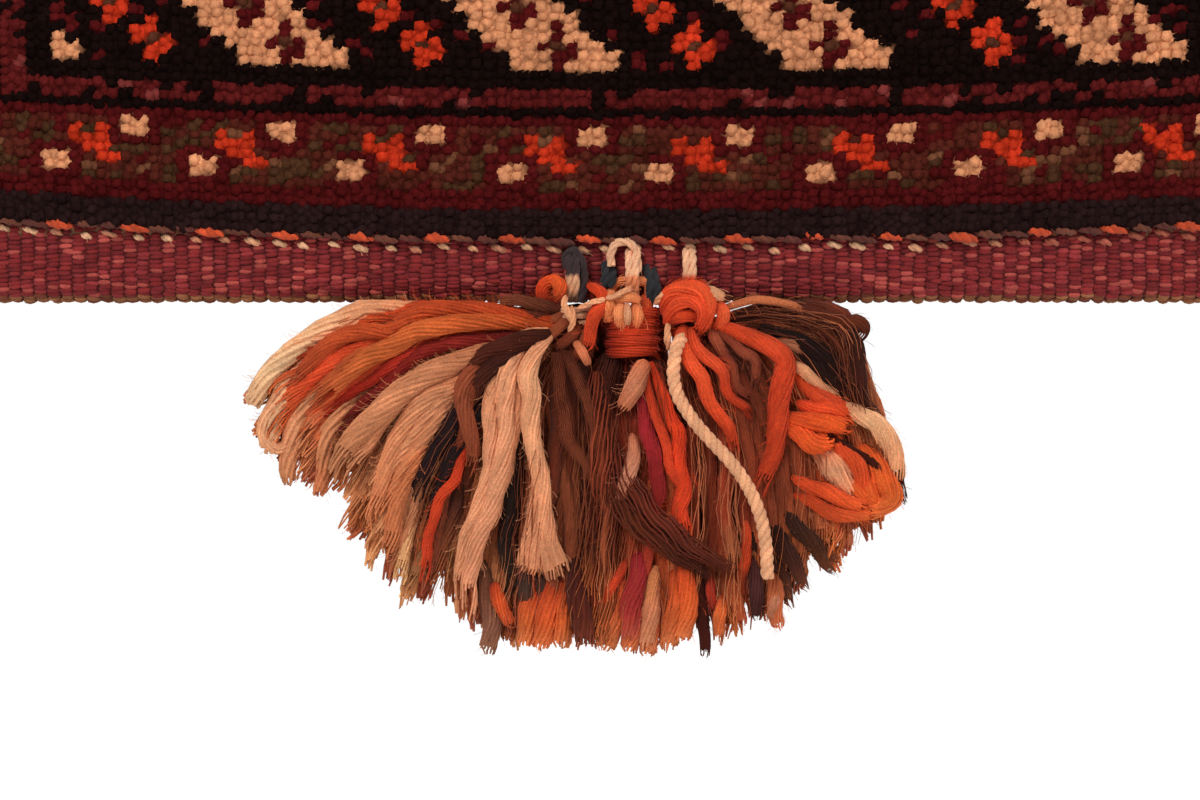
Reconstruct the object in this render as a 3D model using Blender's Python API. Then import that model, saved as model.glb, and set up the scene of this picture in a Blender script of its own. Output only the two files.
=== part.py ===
"""Salt bag: a pile-woven pouch with a narrow folding neck and three yarn tassels under its hem.

The bag hangs upright.  +Z is up, X runs across it and its patterned front faces -Y.  The origin is
the middle of the shoulder line, where the neck meets the body.  Sizes are in metres.
"""

import math

import bmesh
import bpy
from mathutils import Matrix, Vector

# Driving dimensions of the pouch
BODY_WIDTH = 0.380
BODY_HEIGHT = 0.310
NECK_WIDTH = 0.190
NECK_HEIGHT = 0.170
CORNER_RADIUS = 0.014
BODY_FULLNESS = 0.022
NECK_FULLNESS = 0.010
FOLD_FULLNESS = 0.006
SHOULDER_BLEND = 0.070
BOTTOM_BLEND = 0.070
SWELL_POWER = 2.4

# Cloth
GROUND_THICKNESS = 0.0020
PILE_HEIGHT = 0.0040
BACK_THICKNESS = 0.0025
HEM_HEIGHT = 0.015
CLEARANCE = 0.0003

# Overcast bindings along the selvedges, and the turned band round the mouth
BINDING_WALL = 0.0016
BINDING_REACH = 0.0050
BINDING_ROUNDING = 0.0029
EDGE_FLAT = 0.0010
MOUTH_BAND = 0.0080
MOUTH_WALL = 0.0012
TWINING_SIZE = 0.0013

# Fold of the neck over the body
FOLD_AHEAD = 0.0010

# Hanging loops through the hem, one for each tassel
LOOP_YARN = 0.0024
LOOP_RISE = 0.0060
LOOP_FIT = 0.00035
EYE_YARN = 0.0022
EYE_DROP = 0.00157
HEM_RUNNING_GAP = 0.0004

# Tassels
LEFT_TASSEL_X = -0.0109
CENTRE_TASSEL_X = 0.0028
RIGHT_TASSEL_X = 0.0160
TASSEL_DROP = 0.076
HEAD_GAP = 0.00062
NECK_COVER = 0.00015
NECK_HALF_DEPTH = 0.0030
HEAD_TOP_WIDTH_SHARE = 0.85
HEAD_TOP_DEPTH_SHARE = 0.70
TIE_YARN = 0.0012
TIE_PITCH = 0.00165
TIE_TURNS = 2
KNOB_HALF_WIDTH = 0.0052
KNOB_HALF_DEPTH = 0.0050
KNOB_HALF_HEIGHT = 0.0036
WRAP_CORE_COVER = 0.00045
WRAP_YARN = 0.0016
WRAP_PITCH = 0.00207
WRAP_TURNS = 5
FLARE_RADIUS = 0.0060
FLARE_HEIGHT = 0.0022
SKEIN_GAP = 0.0005
SKEIN_SEAT = 0.0004
SKEIN_START_DEPTH = 0.0042
SKEIN_FULL_DEPTH = 0.0078
SKEIN_FULL_SHARE = 0.5

# Cream cord that hangs down the front of the right tassel
CORD_DIAMETER = 0.0032
CORD_POINT_SPACING = 0.0025

# Counts
CLOTH_COLUMNS = 20
CLOTH_ROWS = 12
NECK_COLUMNS = 16
NECK_ROWS = 6
CORNER_STEPS = 4
FOLD_STEPS = 8
BINDING_STEPS = 6
SECTION_SIDES = 8
KNOB_SIDES = 14
RING_SIDES = 24
TURN_POINTS = 24
WINDING_RESOLUTION = 1
CORD_RESOLUTION = 2
ROUTE_STEPS = 8

HEM_TOP = -BODY_HEIGHT + HEM_HEIGHT

# Fan of each tassel, from its outer ray to its inner one: the angle at which the ray leaves the
# head, in degrees from straight down, and the tip's place across and down as shares of the drop
LEFT_RAY_SHARES = [
    (95, -0.99, -0.19), (76, -0.88, -0.36), (57, -0.77, -0.48), (40, -0.66, -0.65),
    (24, -0.57, -0.80), (9, -0.43, -0.83), (-7, -0.31, -0.87), (-24, -0.21, -0.96),
    (-42, -0.12, -0.92), (-60, -0.025, -0.95),
]
CENTRE_RAY_SHARES = [
    (1.0, -0.185, -0.90), (0.33, -0.07, -0.90), (-0.33, 0.10, -0.89), (-1.0, 0.21, -0.89),
]
RIGHT_RAY_SHARES = [
    (60, 0.06, -0.95), (38, 0.15, -0.92), (16, 0.26, -0.88), (-4, 0.36, -0.82), (-24, 0.46, -0.74),
    (-42, 0.58, -0.62), (-60, 0.65, -0.50), (-78, 0.62, -0.28), (-97, 0.53, 0.02),
]
LEFT_ARCH_SHARE = 0.16
RIGHT_ARCH_SHARE = 0.06
STATION_SHARES = (0.0, 0.10, 0.25, 0.45, 0.65, 0.82, 0.94, 1.0)
GIRTH_SHARES = (0.90, 0.95, 1.0, 1.0, 1.0, 0.97, 0.88, 0.60)

# Skeins: node name, first ray, last ray, length as a share of the ray, colour
LEFT_FRONT_SKEINS = [
    ("left_orange_skein", 0, 2, 0.97, "orange"), ("left_maroon_skein", 2, 3, 0.90, "maroon"),
    ("left_beige_skein", 3, 5, 0.94, "beige"), ("left_navy_skein", 5, 6, 0.80, "navy"),
    ("left_cream_outer_skein", 6, 7, 1.0, "beige"), ("left_cream_inner_skein", 7, 8, 0.84, "beige"),
    ("left_umber_skein", 8, 9, 0.95, "brown"),
]
LEFT_BACK_SKEINS = [
    ("left_tan_back_skein", 0, 4, 1.0, "tan"), ("left_dark_back_skein", 4, 9, 0.98, "brown"),
]
CENTRE_FRONT_SKEINS = [
    ("centre_brown_skein", 0, 1, 1.0, "brown"), ("centre_ruby_skein", 1, 2, 0.96, "maroon"),
    ("centre_orange_skein", 2, 3, 1.0, "orange"),
]
CENTRE_BACK_SKEINS = [("centre_back_skein", 0, 3, 0.97, "brown")]
RIGHT_FRONT_SKEINS = [
    ("right_orange_skein", 0, 2, 0.96, "orange"), ("right_umber_skein", 2, 4, 1.0, "brown"),
    ("right_red_skein", 4, 5, 0.90, "orange"), ("right_loop_skein", 5, 7, 0.97, "orange"),
    ("right_brown_skein", 7, 8, 1.0, "brown"),
]
RIGHT_BACK_SKEINS = [
    ("right_dark_back_skein", 0, 4, 0.99, "brown"), ("right_tan_back_skein", 4, 8, 0.96, "tan"),
]

# Route of the cream cord's middle line, in metres: it leaves the right knob's front and hangs down
CORD_ROUTE = [
    (0.0141, -0.0157, -0.3190), (0.0136, -0.0172, -0.3197), (0.0128, -0.0189, -0.3212),
    (0.0123, -0.0201, -0.3240), (0.0121, -0.0206, -0.3275), (0.0129, -0.0207, -0.3315),
    (0.0149, -0.0207, -0.3352), (0.0177, -0.0207, -0.3390), (0.0213, -0.0207, -0.3430),
    (0.0250, -0.0207, -0.3470), (0.0281, -0.0207, -0.3512), (0.0304, -0.0207, -0.3555),
    (0.0320, -0.0207, -0.3600), (0.0329, -0.0207, -0.3645), (0.0333, -0.0207, -0.3690),
    (0.0334, -0.0207, -0.3733),
]

COLOURS = {
    "pile": ((0.030, 0.012, 0.011, 1), 0.95),
    "flatweave": ((0.150, 0.024, 0.026, 1), 0.90),
    "ground": ((0.230, 0.140, 0.090, 1), 0.92),
    "binding": ((0.035, 0.018, 0.015, 1), 0.92),
    "twine": ((0.480, 0.090, 0.030, 1), 0.88),
    "cream": ((0.680, 0.400, 0.230, 1), 0.90),
    "orange": ((0.560, 0.080, 0.025, 1), 0.90),
    "maroon": ((0.120, 0.016, 0.020, 1), 0.90),
    "beige": ((0.460, 0.240, 0.140, 1), 0.92),
    "navy": ((0.018, 0.014, 0.020, 1), 0.92),
    "brown": ((0.070, 0.025, 0.018, 1), 0.93),
    "tan": ((0.520, 0.260, 0.130, 1), 0.92),
}


# Scene helpers

def clear_scene():
    for item in list(bpy.data.objects):
        bpy.data.objects.remove(item, do_unlink=True)


def finish(name, item, colour, holder):
    """Gives a piece its name and material, and hangs it on its body's empty."""
    rgba, roughness = COLOURS[colour]
    material = bpy.data.materials.new(name)
    material.use_nodes = True
    shader = material.node_tree.nodes["Principled BSDF"]
    shader.inputs["Base Color"].default_value = rgba
    shader.inputs["Roughness"].default_value = roughness
    shader.inputs["Metallic"].default_value = 0.0
    item.data.materials.append(material)
    item.data.transform(Matrix.Translation(-holder.location))
    item.parent = holder
    return item


def body_empty(name, place):
    empty = bpy.data.objects.new(name, None)
    empty.location = place
    bpy.context.collection.objects.link(empty)
    return empty


def mesh_object(name, points, faces):
    mesh = bpy.data.meshes.new(name)
    mesh.from_pydata([tuple(p) for p in points], [], faces)
    work = bmesh.new()
    work.from_mesh(mesh)
    bmesh.ops.recalc_face_normals(work, faces=work.faces)
    work.to_mesh(mesh)
    work.free()
    item = bpy.data.objects.new(name, mesh)
    bpy.context.collection.objects.link(item)
    return item


def smooth_shade(item, angle=math.radians(50)):
    item.data.shade_smooth()
    item.data.set_sharp_from_angle(angle=angle)


def loft(name, rings, closed=False):
    """Skins a row of rings with as many points each, with a centre point closing each end."""
    count = len(rings[0])
    points = [p for ring in rings for p in ring]
    faces = []
    spans = len(rings) if closed else len(rings) - 1
    for a in range(spans):
        b = (a + 1) % len(rings)
        for k in range(count):
            n = (k + 1) % count
            faces.append((a * count + k, a * count + n, b * count + n, b * count + k))
    if not closed:
        for ring_index in (0, len(rings) - 1):
            middle = sum((Vector(p) for p in rings[ring_index]), Vector()) / count
            points.append(middle)
            for k in range(count):
                n = (k + 1) % count
                start = ring_index * count
                faces.append((start + k, start + n, len(points) - 1))
    return mesh_object(name, points, faces)


def hide_cutter(item):
    item.hide_render = True
    item.display_type = "WIRE"


def combine(item, other, operation):
    hide_cutter(other)
    modifier = item.modifiers.new(other.name, "BOOLEAN")
    modifier.operation = operation
    modifier.solver = "EXACT"
    modifier.object = other


# Shape of the hollow pouch

def ease(share):
    share = min(1.0, max(0.0, share))
    return share * share * (3 - 2 * share)


def mix(a, b, share):
    return a + (b - a) * share


def fullness(z):
    """Depth of the hollow on the centre line at a height."""
    if z > -SHOULDER_BLEND:
        return mix(NECK_FULLNESS, BODY_FULLNESS, ease(-z / SHOULDER_BLEND))
    return mix(FOLD_FULLNESS, BODY_FULLNESS, ease((z - HEM_TOP) / BOTTOM_BLEND))


def hollow_half_width(z):
    """Half width of the hollow: the cloths lie flat together under the bindings."""
    margin = BINDING_REACH + EDGE_FLAT
    return mix(NECK_WIDTH / 2 - margin, BODY_WIDTH / 2 - margin, ease(-z / SHOULDER_BLEND))


def hollow(x, z):
    share = min(1.0, abs(x) / hollow_half_width(z))
    return fullness(z) * (1 - share ** SWELL_POWER)


def ground_inner(x, z):
    return -CLEARANCE - hollow(x, z)


def ground_outer(x, z):
    return ground_inner(x, z) - GROUND_THICKNESS


def pile_inner(x, z):
    return ground_outer(x, z) - CLEARANCE


def pile_outer(x, z):
    return pile_inner(x, z) - PILE_HEIGHT


def back_inner(x, z):
    return 0.0


def back_outer(x, z):
    return BACK_THICKNESS


def outline(z, inset=0.0):
    """Half width of the body's cloth at a height, with round upper corners."""
    radius = CORNER_RADIUS - inset
    top = -inset
    if z >= top - radius:
        rise = z - (top - radius)
        return BODY_WIDTH / 2 - CORNER_RADIUS + math.sqrt(max(0.0, radius ** 2 - rise ** 2))
    return BODY_WIDTH / 2 - inset


def pile_inset():
    return BINDING_REACH + CLEARANCE


def body_heights():
    """Heights of the body's rows of points, which its cloth and its pile share."""
    inset = pile_inset()
    above = [-inset * ease(k / CORNER_STEPS) for k in range(CORNER_STEPS)]
    below = [-inset - (CORNER_RADIUS - inset) * (1 - math.cos(math.pi / 2 * k / CORNER_STEPS))
             for k in range(CORNER_STEPS + 1)]
    low = HEM_TOP + CLEARANCE
    return above + below + [mix(below[-1], low, k / CLOTH_ROWS) for k in range(1, CLOTH_ROWS + 1)]


def cloth(name, columns, heights, across, outer, inner, keep=None):
    """A curved sheet with a thickness, made on a grid of columns and heights."""
    wide, tall = len(columns), len(heights)
    points = []
    for z in heights:
        for column in columns:
            x = across(column, z)
            points.append((x, outer(x, z), z))
    for z in heights:
        for column in columns:
            x = across(column, z)
            points.append((x, inner(x, z), z))
    cells = [(i, j) for j in range(tall - 1) for i in range(wide - 1) if keep is None or keep(i, j)]
    filled = set(cells)
    behind = wide * tall
    faces = []
    for i, j in cells:
        a, b = j * wide + i, j * wide + i + 1
        c, d = (j + 1) * wide + i + 1, (j + 1) * wide + i
        for corners in ((a, b, c), (a, c, d)):
            faces.append(corners)
            faces.append(tuple(corner + behind for corner in reversed(corners)))
        for beside, p, q in (((i, j - 1), a, b), ((i + 1, j), b, c), ((i, j + 1), c, d), ((i - 1, j), d, a)):
            if beside not in filled:
                faces.append((q, p, p + behind, q + behind))
    item = mesh_object(name, points, faces)
    drop_loose(item)
    return item


def drop_loose(item):
    work = bmesh.new()
    work.from_mesh(item.data)
    bmesh.ops.delete(work, geom=[v for v in work.verts if not v.link_faces], context="VERTS")
    work.to_mesh(item.data)
    work.free()


def even_shares(count):
    return [2 * k / count - 1 for k in range(count + 1)]


def cloth_columns(count):
    """Columns across a piece: from -1 to 1 over the hollow, and out to 2 at the piece's edge."""
    return [-2.0] + even_shares(count) + [2.0]


def column_place(edge):
    """Gives the function that turns a column and a height into x, for a piece with that edge."""
    def across(column, z):
        half = hollow_half_width(z)
        if abs(column) <= 1:
            return column * half
        return math.copysign(mix(half, edge(z), abs(column) - 1), column)
    return across


def neck_edge(z):
    return NECK_WIDTH / 2


def inside_neck_bindings(z):
    return NECK_WIDTH / 2 - pile_inset()


def inside_side_bindings(z):
    return BODY_WIDTH / 2 - pile_inset()


def neck_heights(top):
    return [mix(CLEARANCE, top, k / NECK_ROWS) for k in range(NECK_ROWS + 1)]


# Cloth panels

def body_panels(holder):
    across = column_place(outline)
    front = cloth("front_ground_cloth", cloth_columns(CLOTH_COLUMNS), body_heights(), across,
                  ground_outer, ground_inner)
    smooth_shade(finish("front_ground_cloth", front, "ground", holder))
    back = cloth("back_cloth", [-2.0, 0.0, 2.0], body_heights(), across, back_outer, back_inner)
    finish("back_cloth", back, "flatweave", holder)
    body_pile(holder)


def body_pile(holder):
    """Knotted pile of the body, with a tab between the shoulder bindings that meets the neck's pile."""
    inset = pile_inset()

    def edge(z):
        return outline(min(z, -inset), inset)

    half = hollow_half_width(0)
    tab = 1 + (NECK_WIDTH / 2 - half) / (edge(0) - half)
    columns = [-2.0, -tab] + even_shares(CLOTH_COLUMNS) + [tab, 2.0]

    def keep(i, j):
        return j >= CORNER_STEPS or 0 < i < len(columns) - 2

    pile = cloth("front_pile", columns, body_heights(), column_place(edge), pile_outer, pile_inner, keep)
    smooth_shade(finish("front_pile", pile, "pile", holder))


def neck_panels(holder):
    columns = cloth_columns(NECK_COLUMNS)
    ground = cloth("neck_ground_cloth", columns, neck_heights(NECK_HEIGHT), column_place(neck_edge),
                   ground_outer, ground_inner)
    smooth_shade(finish("neck_ground_cloth", ground, "ground", holder))
    back = cloth("neck_back_cloth", [-2.0, 0.0, 2.0], [CLEARANCE, NECK_HEIGHT], column_place(neck_edge),
                 back_outer, back_inner)
    finish("neck_back_cloth", back, "flatweave", holder)
    pile_top = NECK_HEIGHT - MOUTH_BAND - CLEARANCE
    pile = cloth("neck_pile", columns, neck_heights(pile_top), column_place(inside_neck_bindings),
                 pile_outer, pile_inner)
    smooth_shade(finish("neck_pile", pile, "pile", holder))


# Flat-woven hem folded under the bag

def arc_points(centre_y, centre_z, radius_y, radius_z, steps):
    """Half turn from the front, underneath, to the back."""
    points = []
    for k in range(steps + 1):
        angle = math.pi * k / steps
        points.append((centre_y - radius_y * math.cos(angle), centre_z - radius_z * math.sin(angle)))
    return points


def hem_section(x):
    front = ground_outer(x, HEM_TOP)
    inner = ground_inner(x, HEM_TOP)
    outer_radius = (BACK_THICKNESS - front) / 2
    inner_radius = -inner / 2
    fold_z = -BODY_HEIGHT + outer_radius
    ring = [(front, HEM_TOP)]
    ring += arc_points(front + outer_radius, fold_z, outer_radius, outer_radius, FOLD_STEPS)
    ring.append((BACK_THICKNESS, HEM_TOP))
    ring.append((0.0, HEM_TOP))
    ring += reversed(arc_points(inner + inner_radius, fold_z, inner_radius, inner_radius, FOLD_STEPS))
    ring.append((inner, HEM_TOP))
    return [Vector((x, y, z)) for y, z in ring]


def hem_fold(holder, loops):
    """U-shaped fold with an opening for each hanging loop."""
    across = column_place(outline)
    rings = [hem_section(across(column, HEM_TOP)) for column in cloth_columns(CLOTH_COLUMNS)]
    count = len(rings[0])
    points = [p for ring in rings for p in ring]
    faces = []
    for a in range(len(rings) - 1):
        for k in range(count):
            n = (k + 1) % count
            faces.append((a * count + k, a * count + n, (a + 1) * count + n, (a + 1) * count + k))
    half = count // 2
    for start in (0, (len(rings) - 1) * count):
        for k in range(half - 1):
            faces.append((start + k, start + k + 1, start + count - 2 - k, start + count - 1 - k))
    item = mesh_object("hem_fold", points, faces)
    for number, place in enumerate(loops):
        hole = ring_mesh("loop_hole_" + str(number), place, loop_radius(), LOOP_YARN / 2 + LOOP_FIT)
        combine(item, hole, "DIFFERENCE")
    finish("hem_fold", item, "flatweave", holder)


def twining_row(holder):
    """Two-colour twined row that closes the pile's lower edge and lies on the hem's face."""
    top = HEM_TOP - CLEARANCE
    heights = [top, top - TWINING_SIZE]

    def outer(x, z):
        return pile_inner(x, HEM_TOP) - TWINING_SIZE

    def inner(x, z):
        return pile_inner(x, HEM_TOP)

    item = cloth("twining_row", cloth_columns(CLOTH_COLUMNS), heights, column_place(inside_side_bindings),
                 outer, inner)
    finish("twining_row", item, "twine", holder)


# Bindings

def binding_section():
    """Channel that clasps both cloths: (distance outward from their edge, y)."""
    front = -CLEARANCE - GROUND_THICKNESS - CLEARANCE
    back = BACK_THICKNESS + CLEARANCE
    middle = (front + back) / 2
    half = (back - front) / 2 + BINDING_WALL
    shoulder = CLEARANCE + BINDING_WALL - BINDING_ROUNDING
    section = [(-BINDING_REACH, middle - half)]
    for k in range(BINDING_STEPS + 1):
        angle = math.pi * (k / BINDING_STEPS - 0.5)
        section.append((shoulder + BINDING_ROUNDING * math.cos(angle), middle + half * math.sin(angle)))
    section.append((-BINDING_REACH, middle + half))
    section += [(-BINDING_REACH, back), (CLEARANCE, back), (CLEARANCE, front), (-BINDING_REACH, front)]
    return section


def binding(name, route, holder):
    """Sweeps the channel along a route of (x, z, outward x, outward z)."""
    section = binding_section()
    count = len(section)
    points = []
    for x, z, out_x, out_z in route:
        points += [Vector((x + n * out_x, y, z + n * out_z)) for n, y in section]
    faces = []
    for a in range(len(route) - 1):
        for k in range(count):
            n = (k + 1) % count
            faces.append((a * count + k, a * count + n, (a + 1) * count + n, (a + 1) * count + k))
    last = (len(route) - 1) * count
    faces.append(tuple(range(count)))
    faces.append(tuple(reversed(range(last, last + count))))
    finish(name, mesh_object(name, points, faces), "binding", holder)


def side_bindings(holder):
    start = NECK_WIDTH / 2 + CLEARANCE + BINDING_WALL + CLEARANCE
    corner = BODY_WIDTH / 2 - CORNER_RADIUS
    for side, word in ((-1, "left"), (1, "right")):
        shoulder = [(side * start, 0.0, 0, 1), (side * (corner - CLEARANCE), 0.0, 0, 1)]
        binding(word + "_shoulder_binding", shoulder, holder)
        route = []
        for k in range(2 * CORNER_STEPS + 1):
            angle = math.pi / 2 * k / (2 * CORNER_STEPS)
            out_x, out_z = math.sin(angle), math.cos(angle)
            route.append((side * (corner + CORNER_RADIUS * out_x), -CORNER_RADIUS * (1 - out_z),
                          side * out_x, out_z))
        route.append((side * BODY_WIDTH / 2, -BODY_HEIGHT, side, 0))
        binding(word + "_side_binding", route, holder)


def neck_bindings(holder):
    for side, word in ((-1, "left"), (1, "right")):
        x = side * NECK_WIDTH / 2
        top = NECK_HEIGHT + CLEARANCE + MOUTH_WALL
        binding("neck_" + word + "_binding", [(x, CLEARANCE, side, 0), (x, top, side, 0)], holder)


def mouth_bindings(holder):
    """Band turned over each cloth's upper edge: a leg outside it and a cap on top."""
    across = column_place(inside_neck_bindings)
    edge = NECK_HEIGHT + CLEARANCE
    top = edge + MOUTH_WALL
    low = NECK_HEIGHT - MOUTH_BAND
    for word, side in (("front", -1), ("back", 1)):
        thickness = GROUND_THICKNESS if side < 0 else BACK_THICKNESS
        rings = []
        for column in cloth_columns(NECK_COLUMNS):
            x = across(column, NECK_HEIGHT)
            face = ground_outer(x, NECK_HEIGHT) if side < 0 else BACK_THICKNESS
            near, far = face + side * CLEARANCE, face + side * (CLEARANCE + MOUTH_WALL)
            inner = face - side * thickness
            section = [(near, low), (far, low), (far, top), (inner, top), (inner, edge), (near, edge)]
            rings.append([Vector((x, y, z)) for y, z in section])
        count = len(rings[0])
        points = [p for ring in rings for p in ring]
        faces = []
        for a in range(len(rings) - 1):
            for k in range(count):
                n = (k + 1) % count
                faces.append((a * count + k, a * count + n, (a + 1) * count + n, (a + 1) * count + k))
        for base in (0, (len(rings) - 1) * count):
            faces.append((base, base + 1, base + 2, base + 5))
            faces.append((base + 5, base + 2, base + 3, base + 4))
        name = "mouth_binding_" + word
        finish(name, mesh_object(name, points, faces), "binding", holder)


# Hanging loops

def loop_centre(x):
    """Middle of a hanging loop: in the hem's front wall, above the fold."""
    wall = (ground_outer(x, HEM_TOP) + ground_inner(x, HEM_TOP)) / 2
    return Vector((x, wall, -BODY_HEIGHT + LOOP_RISE))


def ring_mesh(name, centre, radius, yarn_radius):
    """Closed ring in the plane across the hem."""
    rings = []
    for k in range(RING_SIDES):
        turn = 2 * math.pi * k / RING_SIDES
        out = Vector((0, math.cos(turn), math.sin(turn)))
        ring = []
        for n in range(SECTION_SIDES):
            angle = 2 * math.pi * n / SECTION_SIDES
            ring.append(centre + out * (radius + yarn_radius * math.cos(angle))
                        + Vector((yarn_radius * math.sin(angle), 0, 0)))
        rings.append(ring)
    return loft(name, rings, closed=True)


def hanging_loops(holder):
    loops = (("left_hanging_loop", LEFT_TASSEL_X, "navy"), ("centre_hanging_loop", CENTRE_TASSEL_X, "cream"),
             ("right_hanging_loop", RIGHT_TASSEL_X, "cream"))
    for name, x, colour in loops:
        item = ring_mesh(name, loop_centre(x), loop_radius(), LOOP_YARN / 2)
        smooth_shade(finish(name, item, colour, holder))


def pivot_line():
    """Middle of the yarn that hangs in the loops, just clear of the hem: the tassels swing about it."""
    y = ground_outer(CENTRE_TASSEL_X, HEM_TOP) - HEM_RUNNING_GAP - EYE_YARN / 2
    return Vector((CENTRE_TASSEL_X, y, loop_centre(CENTRE_TASSEL_X).z - EYE_DROP))


def eye_half_width():
    """Distance from a loop's yarn to the middle of each leg of the eye that straddles it."""
    return LOOP_YARN / 2 + LOOP_FIT + EYE_YARN / 2


def loop_radius():
    """The loop reaches from the hem's wall round the eye that hangs in it."""
    return (pivot_line() - loop_centre(CENTRE_TASSEL_X)).length + eye_half_width()


# Tassel heads


def eye_mesh(name, x, low):
    """Folded yarn: an arch through the hanging loop with both legs down into the head."""
    top = pivot_line()
    half = eye_half_width()
    bend = top.z - half
    path = [(Vector((x - half, top.y, low)), Vector((1, 0, 0)))]
    for k in range(SECTION_SIDES + 1):
        angle = math.pi * (1 - k / SECTION_SIDES)
        out = Vector((math.cos(angle), 0, math.sin(angle)))
        path.append((Vector((x, top.y, bend)) + out * half, -out))
    path.append((Vector((x + half, top.y, low)), Vector((-1, 0, 0))))
    rings = []
    for place, inward in path:
        ring = []
        for n in range(SECTION_SIDES):
            angle = 2 * math.pi * n / SECTION_SIDES
            ring.append(place + (inward * math.cos(angle) + Vector((0, math.sin(angle), 0))) * EYE_YARN / 2)
        rings.append(ring)
    return loft(name, rings)


def oval_loft(name, x, y, profile, sides):
    """Oval rings stacked down a profile of (z, half width, half depth)."""
    rings = []
    for z, wide, deep in profile:
        rings.append([Vector((x + wide * math.cos(2 * math.pi * k / sides),
                              y + deep * math.sin(2 * math.pi * k / sides), z)) for k in range(sides)])
    return loft(name, rings)


def head_top():
    loop_bottom = loop_centre(CENTRE_TASSEL_X).z - loop_radius() - LOOP_YARN / 2
    return loop_bottom - HEAD_GAP


def wound_top():
    """Top of the ties and of the wrap, below the head's chamfered edge."""
    return head_top() - EDGE_FLAT / 2


def neck_half_width():
    return eye_half_width() + EYE_YARN / 2 + NECK_COVER


def wrap_core_radius():
    return eye_half_width() + EYE_YARN / 2 + WRAP_CORE_COVER


def tie_length():
    return TIE_TURNS * TIE_PITCH + TIE_YARN


def knob_centre(x):
    neck_low = wound_top() - tie_length() - CLEARANCE
    return Vector((x, pivot_line().y, neck_low - KNOB_HALF_HEIGHT))


def knotted_head(name, x, colour, holder):
    """Eye, tied neck and round knob of a side tassel."""
    centre = knob_centre(x)
    wide = neck_half_width()
    profile = [(head_top(), HEAD_TOP_WIDTH_SHARE * wide, HEAD_TOP_WIDTH_SHARE * NECK_HALF_DEPTH),
               (wound_top(), wide, NECK_HALF_DEPTH),
               (centre.z + KNOB_HALF_HEIGHT, wide, NECK_HALF_DEPTH)]
    steps = SECTION_SIDES
    for k in range(2, steps + 1):
        angle = math.pi * k / (steps + 1)
        profile.append((centre.z + KNOB_HALF_HEIGHT * math.cos(angle), KNOB_HALF_WIDTH * math.sin(angle),
                        KNOB_HALF_DEPTH * math.sin(angle)))
    head = oval_loft(name, x, centre.y, profile, KNOB_SIDES)
    eye = eye_mesh(name + "_eye", x, centre.z + KNOB_HALF_HEIGHT)
    combine(head, eye, "UNION")
    eye.parent = holder
    eye.data.transform(Matrix.Translation(-holder.location))
    finish(name, head, colour, holder)


def wrap_length():
    return WRAP_TURNS * WRAP_PITCH + WRAP_YARN


def centre_foot():
    return wound_top() - wrap_length() - CLEARANCE - FLARE_HEIGHT


def wrapped_head(name, x, holder):
    """Eye and straight core of the centre tassel, flared where the skeins leave the wrap."""
    radius = wrap_core_radius()
    foot = centre_foot()
    profile = [(head_top(), HEAD_TOP_WIDTH_SHARE * radius, HEAD_TOP_DEPTH_SHARE * radius),
               (wound_top(), radius, radius), (foot + FLARE_HEIGHT, radius, radius),
               (foot + FLARE_HEIGHT / 2, FLARE_RADIUS, radius), (foot, FLARE_RADIUS, radius)]
    head = oval_loft(name, x, pivot_line().y, profile, KNOB_SIDES)
    eye = eye_mesh(name + "_eye", x, foot + FLARE_HEIGHT)
    combine(head, eye, "UNION")
    eye.parent = holder
    eye.data.transform(Matrix.Translation(-holder.location))
    finish(name, head, "orange", holder)


# Windings

def tube(name, points, diameter, resolution):
    curve = bpy.data.curves.new(name, "CURVE")
    curve.dimensions = "3D"
    curve.bevel_depth = diameter / 2
    curve.bevel_resolution = resolution
    curve.use_fill_caps = True
    spline = curve.splines.new("POLY")
    spline.points.add(len(points) - 1)
    for point, place in zip(spline.points, points):
        point.co = (*place, 1.0)
    item = bpy.data.objects.new(name, curve)
    bpy.context.collection.objects.link(item)
    return item


def winding(name, x, core_width, core_depth, turns, pitch, yarn, colour, holder):
    """One unbroken yarn wound round a core of that half width and depth, from its top down."""
    y = pivot_line().y
    start = wound_top() - yarn / 2
    half_width = core_width + CLEARANCE + yarn / 2
    half_depth = core_depth + CLEARANCE + yarn / 2
    points = []
    for k in range(turns * TURN_POINTS + 1):
        share = k / TURN_POINTS
        angle = 2 * math.pi * share
        points.append(Vector((x + half_width * math.sin(angle), y + half_depth * math.cos(angle),
                              start - pitch * share)))
    least = min((points[a] - points[b]).length for a in range(len(points))
                for b in range(a + TURN_POINTS // 2, len(points)))
    print(name, "least gap to itself", round((least - yarn) * 1000, 2), "mm")
    finish(name, tube(name, points, yarn, WINDING_RESOLUTION), colour, holder)


# Skeins

def fan_point(start, tip, share, arch):
    lift = Vector((0, 0, arch * 4 * share * (1 - share)))
    return start.lerp(tip, share) + lift


def side_rays(x, table, arch_share):
    """Start, tip and arch of each ray of a side tassel's fan."""
    centre = knob_centre(x)
    wide = KNOB_HALF_WIDTH + SKEIN_SEAT
    tall = KNOB_HALF_HEIGHT + SKEIN_SEAT
    rays = []
    for degrees, across, down in table:
        angle = math.radians(degrees)
        start = centre + Vector((-wide * math.sin(angle), 0, -tall * math.cos(angle)))
        tip = centre + Vector((across * TASSEL_DROP, 0, down * TASSEL_DROP))
        lean = abs(across) / max(abs(ray[1]) for ray in table)
        rays.append((start, tip, arch_share * TASSEL_DROP * lean ** 2))
    return rays


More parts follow.
